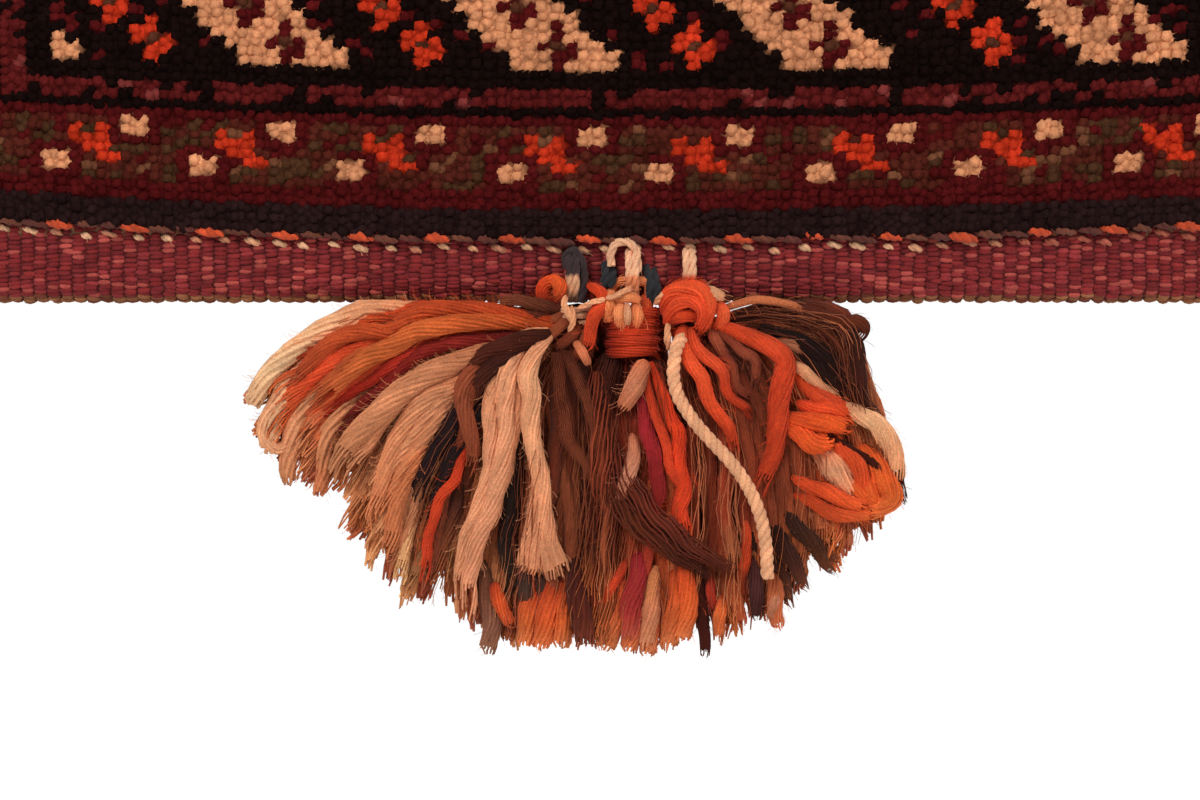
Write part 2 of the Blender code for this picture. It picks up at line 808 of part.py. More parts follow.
def centre_rays():
    rays = []
    middle = Vector((CENTRE_TASSEL_X, pivot_line().y, centre_foot() - SKEIN_SEAT))
    for across, tip_across, tip_down in CENTRE_RAY_SHARES:
        start = middle + Vector((-across * FLARE_RADIUS, 0, 0))
        tip = Vector((middle.x + tip_across * TASSEL_DROP, middle.y, middle.z + tip_down * TASSEL_DROP))
        rays.append((start, tip, 0.0))
    return rays


def across_rays(rays, index, share):
    """Point between the rays at a place along them; index 1.5 lies midway from ray 1 to ray 2."""
    low = min(int(index), len(rays) - 2)
    a, b = (fan_point(ray[0], ray[1], share, ray[2]) for ray in rays[low:low + 2])
    return a.lerp(b, index - low)


def skein(name, rays, first, last, length, layer, colour, holder):
    """Bunch of yarn between two rays of the fan, in the front (-1) or the back (1) layer."""
    sides = SECTION_SIDES + 2 * (last - first - 1)
    middle, reach = (first + last) / 2, (last - first) / 2
    rings = []
    for share, girth in zip(STATION_SHARES, GIRTH_SHARES):
        along = share * length
        width = (across_rays(rays, last, along) - across_rays(rays, first, along)).length
        fill = girth * max(0.0, 1 - SKEIN_GAP / width)
        deep = girth * mix(SKEIN_START_DEPTH, SKEIN_FULL_DEPTH, ease(share / SKEIN_FULL_SHARE))
        ring = []
        for k in range(sides):
            angle = 2 * math.pi * (k + 0.5) / sides
            place = across_rays(rays, middle + reach * fill * math.cos(angle), along)
            ring.append(place + Vector((0, layer * (SKEIN_GAP + deep) / 2 + deep / 2 * math.sin(angle), 0)))
        rings.append(ring)
    item = loft(name, rings)
    smooth_shade(finish(name, item, colour, holder))


def skeins(rays, front, back, holder):
    for layer, table in ((-1, front), (1, back)):
        for name, first, last, length, colour in table:
            skein(name, rays, first, last, length, layer, colour, holder)


# Cream cord

def smooth_route(route, spacing):
    """Points at even steps on a smooth curve through the route."""
    ends = [Vector(p) for p in route]
    dense = []
    for k in range(len(ends) - 1):
        before = ends[max(0, k - 1)]
        after = ends[min(len(ends) - 1, k + 2)]
        a, b = ends[k], ends[k + 1]
        for n in range(ROUTE_STEPS):
            t = n / ROUTE_STEPS
            dense.append(0.5 * (2 * a + (b - before) * t + (2 * before - 5 * a + 4 * b - after) * t ** 2
                                + (3 * a - before - 3 * b + after) * t ** 3))
    dense.append(ends[-1])
    lengths = [0.0]
    for a, b in zip(dense, dense[1:]):
        lengths.append(lengths[-1] + (b - a).length)
    total = lengths[-1]
    count = max(2, round(total / spacing))
    points = []
    index = 0
    for k in range(count + 1):
        want = total * k / count
        while index < len(dense) - 2 and lengths[index + 1] < want:
            index += 1
        span = lengths[index + 1] - lengths[index]
        points.append(dense[index].lerp(dense[index + 1], (want - lengths[index]) / span))
    print("cream cord length", round(total * 1000, 1), "mm")
    return points


def cream_cord(holder):
    points = smooth_route(CORD_ROUTE, CORD_POINT_SPACING)
    finish("cream_cord", tube("cream_cord", points, CORD_DIAMETER, CORD_RESOLUTION), "cream", holder)


# The whole bag

def side_tassel(word, x, holder):
    """Head and tie of the left or the right tassel."""
    knotted_head(word + "_tassel_head", x, "orange", holder)
    winding(word + "_tie", x, neck_half_width(), NECK_HALF_DEPTH, TIE_TURNS, TIE_PITCH, TIE_YARN,
            "cream", holder)


def build():
    clear_scene()
    bag = body_empty("bag", (0, 0, 0))
    fold_y = pile_outer(0, 0) - FOLD_AHEAD
    neck = body_empty("neck", (0, fold_y, 0))
    pivot = pivot_line()
    left = body_empty("tassel_left", (LEFT_TASSEL_X, pivot.y, pivot.z))
    centre = body_empty("tassel_centre", (CENTRE_TASSEL_X, pivot.y, pivot.z))
    right = body_empty("tassel_right", (RIGHT_TASSEL_X, pivot.y, pivot.z))
    print("neck fold axis at y", round(fold_y, 5), "tassel axis at y", round(pivot.y, 5),
          "z", round(pivot.z, 5))

    body_panels(bag)
    hem_fold(bag, [loop_centre(x) for x in (LEFT_TASSEL_X, CENTRE_TASSEL_X, RIGHT_TASSEL_X)])
    twining_row(bag)
    side_bindings(bag)
    hanging_loops(bag)

    neck_panels(neck)
    neck_bindings(neck)
    mouth_bindings(neck)

    side_tassel("left", LEFT_TASSEL_X, left)
    skeins(side_rays(LEFT_TASSEL_X, LEFT_RAY_SHARES, LEFT_ARCH_SHARE),
           LEFT_FRONT_SKEINS, LEFT_BACK_SKEINS, left)

    wrapped_head("centre_tassel_head", CENTRE_TASSEL_X, centre)
    winding("centre_wrap", CENTRE_TASSEL_X, wrap_core_radius(), wrap_core_radius(), WRAP_TURNS,
            WRAP_PITCH, WRAP_YARN, "orange", centre)
    skeins(centre_rays(), CENTRE_FRONT_SKEINS, CENTRE_BACK_SKEINS, centre)

    side_tassel("right", RIGHT_TASSEL_X, right)
    skeins(side_rays(RIGHT_TASSEL_X, RIGHT_RAY_SHARES, RIGHT_ARCH_SHARE),
           RIGHT_FRONT_SKEINS, RIGHT_BACK_SKEINS, right)
    cream_cord(right)


build()
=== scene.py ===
import math
import random

import bpy
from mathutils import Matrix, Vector, noise


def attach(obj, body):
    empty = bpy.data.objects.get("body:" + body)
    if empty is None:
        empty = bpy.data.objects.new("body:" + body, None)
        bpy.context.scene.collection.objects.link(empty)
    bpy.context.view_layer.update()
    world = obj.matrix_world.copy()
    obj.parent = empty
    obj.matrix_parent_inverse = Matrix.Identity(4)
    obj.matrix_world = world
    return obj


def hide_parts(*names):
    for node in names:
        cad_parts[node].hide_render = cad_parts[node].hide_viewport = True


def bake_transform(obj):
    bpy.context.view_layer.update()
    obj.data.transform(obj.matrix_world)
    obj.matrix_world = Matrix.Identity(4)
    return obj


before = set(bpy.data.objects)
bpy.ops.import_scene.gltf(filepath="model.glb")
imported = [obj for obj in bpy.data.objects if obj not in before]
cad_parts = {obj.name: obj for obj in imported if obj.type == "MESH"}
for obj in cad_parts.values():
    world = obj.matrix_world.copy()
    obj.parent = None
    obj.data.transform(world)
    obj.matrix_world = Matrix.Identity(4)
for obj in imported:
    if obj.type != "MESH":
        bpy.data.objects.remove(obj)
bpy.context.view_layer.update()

# A woven salt bag with a knotted pile face, seen from just below its flat-woven hem.
# Sizes are metres where no comment says otherwise. The photograph is read in its own
# 1200 x 800 pixels.

# Camera
# The photographer stands square to the bag and a little below the hem, so the
# tassels hang in the middle of the picture.

PIXEL = 0.00023
VIEW_DISTANCE = 0.700
FRONT_PLANE = -0.012
PICTURE_MIDDLE = (600, 400)
CAMERA_PLACE = Vector((-0.0046, FRONT_PLANE - VIEW_DISTANCE, -0.333))
SENSOR_WIDTH_MM = 36.0
PICTURE_WIDTH = 1200 * PIXEL

lens_data = bpy.data.cameras.new("camera")
lens_data.sensor_width = SENSOR_WIDTH_MM
lens_data.lens = SENSOR_WIDTH_MM * VIEW_DISTANCE / PICTURE_WIDTH
camera = bpy.data.objects.new("camera", lens_data)
camera.location = CAMERA_PLACE
camera.rotation_euler = (math.radians(90), 0, 0)
bpy.context.scene.collection.objects.link(camera)
bpy.context.scene.camera = camera


def seen(px, py, depth):
    """The place at depth y that shows at a pixel of the photograph."""
    reach = (depth - CAMERA_PLACE.y) / VIEW_DISTANCE * PIXEL
    return Vector((CAMERA_PLACE.x + (px - PICTURE_MIDDLE[0]) * reach, depth,
                   CAMERA_PLACE.z - (py - PICTURE_MIDDLE[1]) * reach))


# Cream cord
# A three-ply cotton cord knotted into the right tassel. It leaves the tie beside the
# knob, swings over the dark yarns and ends cut square. It hangs free and is limp.

CORD_DIAMETER = 0.0032
CORD_ROUTE = [
    (0.0141, -0.0157, -0.3190), (0.0136, -0.0172, -0.3197), (0.0128, -0.0189, -0.3212),
    (0.0123, -0.0201, -0.3240), (0.0121, -0.0206, -0.3275), (0.0129, -0.0207, -0.3315),
    (0.0149, -0.0207, -0.3352), (0.0177, -0.0207, -0.3390), (0.0213, -0.0207, -0.3430),
    (0.0250, -0.0207, -0.3470), (0.0281, -0.0207, -0.3512), (0.0304, -0.0207, -0.3555),
    (0.0320, -0.0207, -0.3600), (0.0329, -0.0207, -0.3645), (0.0333, -0.0207, -0.3690),
    (0.0334, -0.0207, -0.3733),
]
ROUTE_STEPS = 8
CORD_PLIES = 3
CORD_LAY = 0.0062


def dyed(colour):
    """An sRGB hex colour as linear RGBA."""
    channels = [int(colour[k:k + 2], 16) / 255 for k in (0, 2, 4)]
    return tuple(c / 12.92 if c <= 0.04045 else ((c + 0.055) / 1.055) ** 2.4 for c in channels) + (1.0,)


def open_socket(sockets, key):
    """The socket in use that has this name, or the first in use; a number is a place in the list."""
    if isinstance(key, int):
        return sockets[key]
    return next(s for s in sockets if s.enabled and key in (None, s.name))


def add(tree, kind, inputs=None, **settings):
    """A node with its settings; an input is a value, a node, or a node and the name of its output."""
    node = tree.nodes.new(kind)
    for name, value in settings.items():
        setattr(node, name, value)
    for key, value in (inputs or {}).items():
        socket = open_socket(node.inputs, key)
        if isinstance(value, bpy.types.Node):
            value = (value, None)
        if isinstance(value, tuple) and isinstance(value[0], bpy.types.Node):
            tree.links.new(open_socket(value[0].outputs, value[1]), socket)
        else:
            socket.default_value = value
    return node


def reckon(tree, operation, *values):
    """One step of arithmetic on values or nodes, in the order that the operation takes them."""
    return add(tree, "ShaderNodeMath", dict(enumerate(values)), operation=operation)


def scaled(tree, vector, share):
    """A vector or a colour times a number."""
    return add(tree, "ShaderNodeVectorMath", {0: vector, "Scale": share}, operation="SCALE")


def random_value(tree, least, most, seed, kind="FLOAT", **more):
    """A random value between two others, with its fixed seed."""
    return add(tree, "FunctionNodeRandomValue", {"Min": least, "Max": most, "Seed": seed, **more},
               data_type=kind)


def marked(tree, shape, name, value, kind="FLOAT", domain="POINT"):
    """The shape with a value written on it under a name."""
    return add(tree, "GeometryNodeStoreNamedAttribute", {"Geometry": shape, "Name": name, "Value": value},
               data_type=kind, domain=domain)


def mark(tree, name, kind="FLOAT"):
    """The value that a shape carries under a name."""
    return add(tree, "GeometryNodeInputNamedAttribute", {"Name": name}, data_type=kind)


def growing_tree(name, sizes):
    """A Geometry Nodes tree that takes a geometry and the named inputs; gives it and its input node."""
    tree = bpy.data.node_groups.new(name, "GeometryNodeTree")
    tree.interface.new_socket("Geometry", in_out="OUTPUT", socket_type="NodeSocketGeometry")
    tree.interface.new_socket("Geometry", in_out="INPUT", socket_type="NodeSocketGeometry")
    for label, kind in sizes.items():
        tree.interface.new_socket(label, in_out="INPUT", socket_type="NodeSocket" + kind)
    return tree, tree.nodes.new("NodeGroupInput")


def close_tree(tree, shape, given):
    """Ends a tree with realised instances in the given material."""
    real = add(tree, "GeometryNodeRealizeInstances", {"Geometry": shape})
    done = add(tree, "GeometryNodeSetMaterial", {"Geometry": real, "Material": (given, "Material")})
    add(tree, "NodeGroupOutput", {"Geometry": done})


def grown(guide, tree, values):
    """Runs the tree on the guide and keeps the result as the guide's own plain mesh."""
    step = guide.modifiers.new(tree.name, "NODES")
    step.node_group = tree
    for item in tree.interface.items_tree:
        if item.in_out == "INPUT" and item.name in values:
            step[item.identifier] = values[item.name]
    depsgraph = bpy.context.evaluated_depsgraph_get()
    mesh = bpy.data.meshes.new_from_object(guide.evaluated_get(depsgraph), preserve_all_data_layers=True,
                                           depsgraph=depsgraph)
    guide.modifiers.clear()
    guide.data = mesh
    return guide


def smooth(route, steps):
    """Points on a smooth curve through the route."""
    ends = [Vector(p) for p in route]
    points = []
    for k in range(len(ends) - 1):
        before = ends[max(0, k - 1)]
        after = ends[min(len(ends) - 1, k + 2)]
        a, b = ends[k], ends[k + 1]
        for n in range(steps):
            t = n / steps
            points.append(0.5 * (2 * a + (b - before) * t + (2 * before - 5 * a + 4 * b - after) * t ** 2
                                 + (3 * a - before - 3 * b + after) * t ** 3))
    points.append(ends[-1])
    return points


def new_piece(name, points, edges=(), faces=()):
    """An object at the origin whose mesh has these points."""
    mesh = bpy.data.meshes.new(name)
    mesh.from_pydata([tuple(p) for p in points], edges, faces)
    mesh.update()
    piece = bpy.data.objects.new(name, mesh)
    bpy.context.scene.collection.objects.link(piece)
    return piece


def yarn_guide(name, strands):
    """Lines with a girth and a dye at each point; a strand is its points, girths and dyes."""
    points, edges, girths, dyes = [], [], [], []
    for line, girth, dye in strands:
        edges += [(len(points) + k, len(points) + k + 1) for k in range(len(line) - 1)]
        points += line
        girths += girth
        dyes += dye
    guide = new_piece(name, points, edges)
    guide.data.attributes.new("girth", "FLOAT", "POINT").data.foreach_set("value", girths)
    flat = [channel for dye in dyes for channel in dye]
    guide.data.attributes.new("dye", "FLOAT_COLOR", "POINT").data.foreach_set("color", flat)
    return guide


# Painted shade on the yarn's core, which lies in among the plies.
PAINTED_CORE_SHADE = 0.15
HAIR_SHADE = 0.8
DRIFT_SCALE = 130.0
DRIFT_APART = 3.7
HAIR_STAND = 0.45
HAIR_STRAY = 0.6
HAIR_SIZES = (0.35, 1.3)
HAIR_BOW = [(0.0, 0.0, 0.0), (0.0, 0.0, 0.6), (0.35, 0.0, 1.0)]


def tube(tree, line, sides, radius):
    """A closed tube along a line."""
    ring = add(tree, "GeometryNodeCurvePrimitiveCircle", {"Resolution": sides, "Radius": 1.0})
    return add(tree, "GeometryNodeCurveToMesh", {"Curve": line, "Profile Curve": ring, "Scale": radius,
                                                 "Fill Caps": True})


def spinning_tree():
    """Spins plies round each line on a soft core; loose hairs stand off and the far end frays."""
    tree, given = growing_tree("spinning", {
        "Plies": "Int", "Ply Sides": "Int", "Ply Share": "Float", "Lay Share": "Float", "Turns": "Float",
        "Wander": "Float", "Core Share": "Float", "Core Sides": "Int", "Hairs": "Float",
        "Hair Length": "Float", "Hair Width": "Float", "Fray": "Float", "Material": "Material"})
    line = add(tree, "GeometryNodeMeshToCurve", {"Mesh": (given, "Geometry")})
    tangent = add(tree, "GeometryNodeInputTangent")
    line = marked(tree, line, "along", tangent, "FLOAT_VECTOR")
    half = reckon(tree, "MULTIPLY", mark(tree, "girth"), 0.5)
    frayed = reckon(tree, "SUBTRACT", 1.0, (given, "Fray"))

    # The core carries painted shade.
    core_line = marked(tree, line, "shade", PAINTED_CORE_SHADE)
    core_line = add(tree, "GeometryNodeTrimCurve", {"Curve": core_line, "End": frayed}, mode="FACTOR")
    core = tube(tree, core_line, (given, "Core Sides"), reckon(tree, "MULTIPLY", half, (given, "Core Share")))

    copies = add(tree, "GeometryNodeDuplicateElements", {"Geometry": line, "Amount": (given, "Plies")},
                 domain="SPLINE")
    number = (copies, "Duplicate Index")
    spline = add(tree, "GeometryNodeSplineParameter")
    share = reckon(tree, "DIVIDE", number, (given, "Plies"))
    turned = reckon(tree, "MULTIPLY_ADD", (spline, "Length"), (given, "Turns"), share)
    angle = reckon(tree, "MULTIPLY", turned, 2 * math.pi)
    drift = add(tree, "ShaderNodeTexNoise", {
        "Vector": add(tree, "GeometryNodeInputPosition"), "W": reckon(tree, "MULTIPLY", number, DRIFT_APART),
        "Scale": DRIFT_SCALE, "Detail": 1.0}, noise_dimensions="4D")
    drift = reckon(tree, "SUBTRACT", drift, 0.5)
    drift = reckon(tree, "MULTIPLY_ADD", drift, (given, "Wander"), 1.0)
    reach = reckon(tree, "MULTIPLY", half, (given, "Lay Share"))
    reach = reckon(tree, "MULTIPLY", reach, drift)
    side = add(tree, "ShaderNodeVectorRotate", {
        "Vector": add(tree, "GeometryNodeInputNormal"), "Axis": tangent, "Angle": angle},
        rotation_type="AXIS_ANGLE")
    plies = add(tree, "GeometryNodeSetPosition", {"Geometry": copies, "Offset": scaled(tree, side, reach)})
    order = add(tree, "GeometryNodeInputIndex")
    plies = marked(tree, plies, "shade", random_value(tree, 0.0, 1.0, 5, ID=order), domain="CURVE")
    ply_end = random_value(tree, frayed, 1.0, 6, ID=order)
    plies = add(tree, "GeometryNodeTrimCurve", {"Curve": plies, "End": ply_end}, mode="FACTOR")
    plies = tube(tree, plies, (given, "Ply Sides"), reckon(tree, "MULTIPLY", half, (given, "Ply Share")))

    roots = add(tree, "GeometryNodeDistributePointsOnFaces",
                {"Mesh": core, "Density": (given, "Hairs"), "Seed": 3}, distribute_method="RANDOM")
    stand = scaled(tree, (roots, "Normal"), HAIR_STAND)
    lie = add(tree, "ShaderNodeVectorMath", {0: mark(tree, "along", "FLOAT_VECTOR"), 1: stand},
              operation="ADD")
    stray = random_value(tree, (-HAIR_STRAY,) * 3, (HAIR_STRAY,) * 3, 8, "FLOAT_VECTOR")
    lie = add(tree, "ShaderNodeVectorMath", {0: lie, 1: stray}, operation="ADD")
    turn = add(tree, "FunctionNodeAlignRotationToVector", {"Vector": lie}, axis="Z")
    bow = add(tree, "GeometryNodeCurveQuadraticBezier", {
        "Resolution": 2, "Start": HAIR_BOW[0], "Middle": HAIR_BOW[1], "End": HAIR_BOW[2]})
    blade = add(tree, "GeometryNodeCurvePrimitiveLine", {"Start": (0.0, -0.5, 0.0), "End": (0.0, 0.5, 0.0)})
    width = reckon(tree, "DIVIDE", (given, "Hair Width"), (given, "Hair Length"))
    hair = add(tree, "GeometryNodeCurveToMesh", {"Curve": bow, "Profile Curve": blade, "Scale": width})
    size = reckon(tree, "MULTIPLY", random_value(tree, *HAIR_SIZES, 9), (given, "Hair Length"))
    hairs = add(tree, "GeometryNodeInstanceOnPoints", {"Points": (roots, "Points"), "Instance": hair,
                                                       "Rotation": turn, "Scale": size})
    hairs = marked(tree, hairs, "shade", HAIR_SHADE, domain="INSTANCE")

    together = add(tree, "GeometryNodeJoinGeometry")
    for part in (core, plies, hairs):
        tree.links.new(part.outputs[0], together.inputs[0])
    soft = add(tree, "GeometryNodeSetShadeSmooth", {"Geometry": together})
    close_tree(tree, soft, given)
    return tree


FIBRE_LIGHT = (0.72, 1.22)
PATCH_LIGHT = (0.82, 1.12)
PATCH_SCALE = 160.0
BRIGHTEST_PLY = 1.14


def fibre_shader(name, roughness, sheen, gloss):
    """A new material for fibre: itself, its tree and its shader."""
    material = bpy.data.materials.new(name)
    material.use_nodes = True
    shader = material.node_tree.nodes["Principled BSDF"]
    shader.inputs["Roughness"].default_value = roughness
    shader.inputs["Sheen Weight"].default_value = sheen
    shader.inputs["Specular IOR Level"].default_value = gloss
    return material, material.node_tree, shader


def lightened(tree, noise_value, least, most):
    """The middle of a noise's range spread between two lights."""
    return add(tree, "ShaderNodeMapRange", {"Value": noise_value, "From Min": 0.3, "From Max": 0.7,
                                            "To Min": least, "To Max": most})


def finish_shader(tree, shader, colour, height, strength, depth):
    """Gives a shader its colour and the relief of its fibres."""
    bump = add(tree, "ShaderNodeBump", {"Height": height, "Strength": strength, "Distance": depth})
    tree.links.new(colour.outputs[0], shader.inputs["Base Color"])
    tree.links.new(bump.outputs[0], shader.inputs["Normal"])


def wool(name, fibre=0.0006, depth=0.0002, sheen=0.15, gloss=0.15, darkest=0.74):
    """Spun fibre: its dye comes with the yarn, with a random tone per ply and painted shade in the hollows;
    fine fibres break up the colour.
    """
    material, tree, shader = fibre_shader(name, 0.9, sheen, gloss)
    shader.inputs["Sheen Roughness"].default_value = 0.6
    place = add(tree, "ShaderNodeTexCoord")
    dye = add(tree, "ShaderNodeAttribute", attribute_name="dye")
    shade = add(tree, "ShaderNodeAttribute", attribute_name="shade")
    fine = add(tree, "ShaderNodeTexNoise", {"Vector": (place, "Object"), "Scale": 1 / fibre, "Detail": 3.0,
                                            "Roughness": 0.7})
    patch = add(tree, "ShaderNodeTexNoise", {"Vector": (place, "Object"), "Scale": PATCH_SCALE,
                                             "Detail": 2.0})
    light = reckon(tree, "MULTIPLY", lightened(tree, fine, *FIBRE_LIGHT),
                   lightened(tree, patch, *PATCH_LIGHT))
    # The shade value: a random tone per ply, and painted shade on cores, tuft roots and the pile's bed.
    tone_and_painted_shade = add(tree, "ShaderNodeMapRange", {"Value": (shade, "Fac"), "To Min": darkest,
                                                 "To Max": BRIGHTEST_PLY})
    light = reckon(tree, "MULTIPLY", light, tone_and_painted_shade)
    finish_shader(tree, shader, scaled(tree, (dye, "Color"), light), fine, 0.5, depth)
    return material


spinning = spinning_tree()
plied_cotton = wool("plied cotton cord", fibre=0.0005)
CORD_DYE = dyed("ecb085")

cord_line = smooth(CORD_ROUTE, ROUTE_STEPS)
cord_strand = (cord_line, [CORD_DIAMETER] * len(cord_line), [CORD_DYE] * len(cord_line))
cream_cord = grown(yarn_guide("cotton_cord", [cord_strand]), spinning, {
    "Plies": CORD_PLIES, "Ply Sides": 10, "Ply Share": 0.50, "Lay Share": 0.50, "Turns": 1 / CORD_LAY,
    "Wander": 0.0, "Core Share": 0.55, "Core Sides": 6, "Hairs": 4e5, "Hair Length": 0.0011,
    "Hair Width": 0.00005, "Fray": 0.0, "Material": plied_cotton})
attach(cream_cord, "tassel_right")
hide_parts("cream_cord")

# Floor and light
# A pale floor well below the tassels and soft lamps in front, at the side and behind.
# The camera sees white behind the bag, and the light that comes from there is dimmer.

FLOOR_HEIGHT = -0.62
FLOOR_REACH = 3.0
FLOOR_GLOW = 0.68
WHITE = (1.0, 1.0, 1.0, 1.0)
WARM = (1.0, 0.88, 0.80)
BAG_MIDDLE = (0.0, 0.0, -0.22)

floor_piece = new_piece("floor", [(x * FLOOR_REACH, y * FLOOR_REACH, FLOOR_HEIGHT)
                                  for x, y in ((-1, -1), (1, -1), (1, 1), (-1, 1))], faces=[(0, 1, 2, 3)])
floor_paint = bpy.data.materials.new("matt white studio board")
floor_paint.use_nodes = True
tree = floor_paint.node_tree
paper = tree.nodes["Principled BSDF"]
paper.inputs["Base Color"].default_value = dyed("e8e6e3")
paper.inputs["Roughness"].default_value = 0.9
rays = add(tree, "ShaderNodeLightPath")
glow = reckon(tree, "MULTIPLY", (rays, "Is Camera Ray"), FLOOR_GLOW)
paper.inputs["Emission Color"].default_value = WHITE
tree.links.new(glow.outputs[0], paper.inputs["Emission Strength"])
floor_piece.data.materials.append(floor_paint)

world = bpy.data.worlds.new("studio")
bpy.context.scene.world = world
world.use_nodes = True
tree = world.node_tree
tree.nodes.clear()
rays = add(tree, "ShaderNodeLightPath")
white_seen = reckon(tree, "MAXIMUM", (rays, "Is Camera Ray"), (rays, "Is Glossy Ray"))
white_seen = reckon(tree, "MAXIMUM", white_seen, (rays, "Is Transmission Ray"))
fill = add(tree, "ShaderNodeBackground", {"Color": WHITE, "Strength": 0.42})
plain = add(tree, "ShaderNodeBackground", {"Color": WHITE, "Strength": 1.0})
sky = add(tree, "ShaderNodeMixShader", {0: white_seen, 1: fill, 2: plain})
add(tree, "ShaderNodeOutputWorld", {"Surface": sky})


def lamp(name, place, target, power, size):
    """A soft square lamp with the photograph's warm light, facing its target."""
    data = bpy.data.lights.new(name, "AREA")
    data.color = WARM
    data.energy = power
    data.size = size
    item = bpy.data.objects.new(name, data)
    item.location = place
    item.rotation_euler = (Vector(target) - Vector(place)).to_track_quat("-Z", "Y").to_euler()
    bpy.context.scene.collection.objects.link(item)


lamp("front_lamp", (-0.55, -1.25, 0.55), BAG_MIDDLE, 13.0, 0.7)
lamp("side_lamp", (1.1, -0.75, 0.15), BAG_MIDDLE, 4.5, 0.6)
lamp("back_lamp", (0.5, 1.3, 0.6), BAG_MIDDLE, 14.0, 0.9)

# Ground cloths and back
# Plain-woven wool that carries the pile, and the flat-woven back in bands of natural
# dyes. Front and back are one cloth turned at the hem and joined down the sides.

BODY_WIDTH = 0.380
BODY_HEIGHT = 0.310
NECK_WIDTH = 0.190
NECK_HEIGHT = 0.170
CORNER_RADIUS = 0.014
HEM_TOP = -0.295
CLEARANCE = 0.0003
GROUND_THICKNESS = 0.0020
PILE_HEIGHT = 0.0040
BACK_THICKNESS = 0.0025
BODY_FULLNESS = 0.022
NECK_FULLNESS = 0.010
FOLD_FULLNESS = 0.006
SHOULDER_BLEND = 0.070
BOTTOM_BLEND = 0.070
SWELL_POWER = 2.4
SEAM_REACH = 0.006


def ease(share):
    share = min(1.0, max(0.0, share))
    return share * share * (3 - 2 * share)


def mix(a, b, share):
    return a + (b - a) * share


def hollow(x, z):
    """How far the front stands off the back."""
    if z > -SHOULDER_BLEND:
        fullness = mix(NECK_FULLNESS, BODY_FULLNESS, ease(-z / SHOULDER_BLEND))
    else:
        fullness = mix(FOLD_FULLNESS, BODY_FULLNESS, ease((z - HEM_TOP) / BOTTOM_BLEND))
    half = mix(NECK_WIDTH / 2 - SEAM_REACH, BODY_WIDTH / 2 - SEAM_REACH, ease(-z / SHOULDER_BLEND))
    return fullness * (1 - min(1.0, abs(x) / half) ** SWELL_POWER)


def ground_inner(x, z):
    return -CLEARANCE - hollow(x, z)


def ground_outer(x, z):
    return ground_inner(x, z) - GROUND_THICKNESS


def pile_inner(x, z):
    return ground_outer(x, z) - CLEARANCE


def half_width(z):
    """Half the bag's width at a height, with its round upper corners."""
    if z > 0:
        return NECK_WIDTH / 2
    rise = max(0.0, z + CORNER_RADIUS)
    return BODY_WIDTH / 2 - CORNER_RADIUS + math.sqrt(CORNER_RADIUS ** 2 - min(rise, CORNER_RADIUS) ** 2)


def panel(name, heights, columns, near, far):
    """A closed cloth between two surfaces, woven row by row from the first height to the last."""
    rows, across = len(heights), columns + 1
    points = []
    for surface in (near, far):
        for z in heights:
            for column in range(across):
                x = half_width(z) * (2 * column / columns - 1)
                points.append((x, surface(x, z), z))
    faces = []
    for side in (0, 1):
        for row in range(rows - 1):
            for column in range(columns):
                a = side * rows * across + row * across + column
                face = (a, a + 1, a + across + 1, a + across)
                faces.append(face if side == 0 else face[::-1])
    edge = [row * across for row in range(rows)]
    edge += [(rows - 1) * across + column for column in range(1, across)]
    edge += [row * across + columns for row in range(rows - 2, -1, -1)]
    edge += [column for column in range(columns - 1, 0, -1)]
    for a, b in zip(edge, edge[1:] + edge[:1]):
        faces.append((a, b, b + rows * across, a + rows * across))
    return new_piece(name, points, faces=faces)


def even(start, end, count):
    return [start + (end - start) * k / count for k in range(count + 1)]


PICK_HEIGHT = 0.0011
RIB_PITCH = 0.0030
BAND_WAVER = 0.002
FLECK_LIGHT = (0.6, 1.35)


def flatwoven(name, bands):
    """Weft-faced wool: short floats packed over ribs; bands are dyes and where each starts in height."""
    material, tree, shader = fibre_shader(name, 0.92, 0.1, 0.12)
    place = add(tree, "ShaderNodeTexCoord")
    apart = add(tree, "ShaderNodeSeparateXYZ", {"Vector": (place, "Object")})
    drift = add(tree, "ShaderNodeTexNoise", {"Vector": (place, "Object"), "Scale": 40.0, "Detail": 2.0})
    drift = reckon(tree, "MULTIPLY_ADD", drift, BAND_WAVER, (apart, "Z"))
    low, high = -BODY_HEIGHT, NECK_HEIGHT
    height = add(tree, "ShaderNodeMapRange", {"Value": drift, "From Min": low, "From Max": high})
    dyes = add(tree, "ShaderNodeValToRGB", {"Fac": height})
    dyes.color_ramp.interpolation = "CONSTANT"
    while len(dyes.color_ramp.elements) < len(bands):
        dyes.color_ramp.elements.new(1.0)
    for element, (colour, start) in zip(dyes.color_ramp.elements, bands):
        element.position = (start - low) / (high - low)
        element.color = dyed(colour)
    stretch = add(tree, "ShaderNodeMapping", {
        "Vector": (place, "Object"), "Scale": (1 / RIB_PITCH, 1 / RIB_PITCH, 1 / PICK_HEIGHT)})
    fleck = add(tree, "ShaderNodeTexNoise", {"Vector": stretch, "Scale": 1.0, "Detail": 2.0,
                                             "Roughness": 0.6})
    colour = scaled(tree, (dyes, "Color"), lightened(tree, fleck, *FLECK_LIGHT))
    picks = reckon(tree, "MULTIPLY", (apart, "Z"), math.pi / PICK_HEIGHT)
    picks = reckon(tree, "ABSOLUTE", reckon(tree, "SINE", picks))
    finish_shader(tree, shader, colour, reckon(tree, "ADD", picks, fleck), 0.8, 0.0004)
    return material


def cloth_piece(piece, material, node, body=None):
    """Finishes a panel: its material, its body or its fold, and what it stands for."""
    piece.data.materials.append(material)
    piece.data.shade_smooth()
    if body:
        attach(piece, body)
    else:
        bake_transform(piece)
    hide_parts(node)


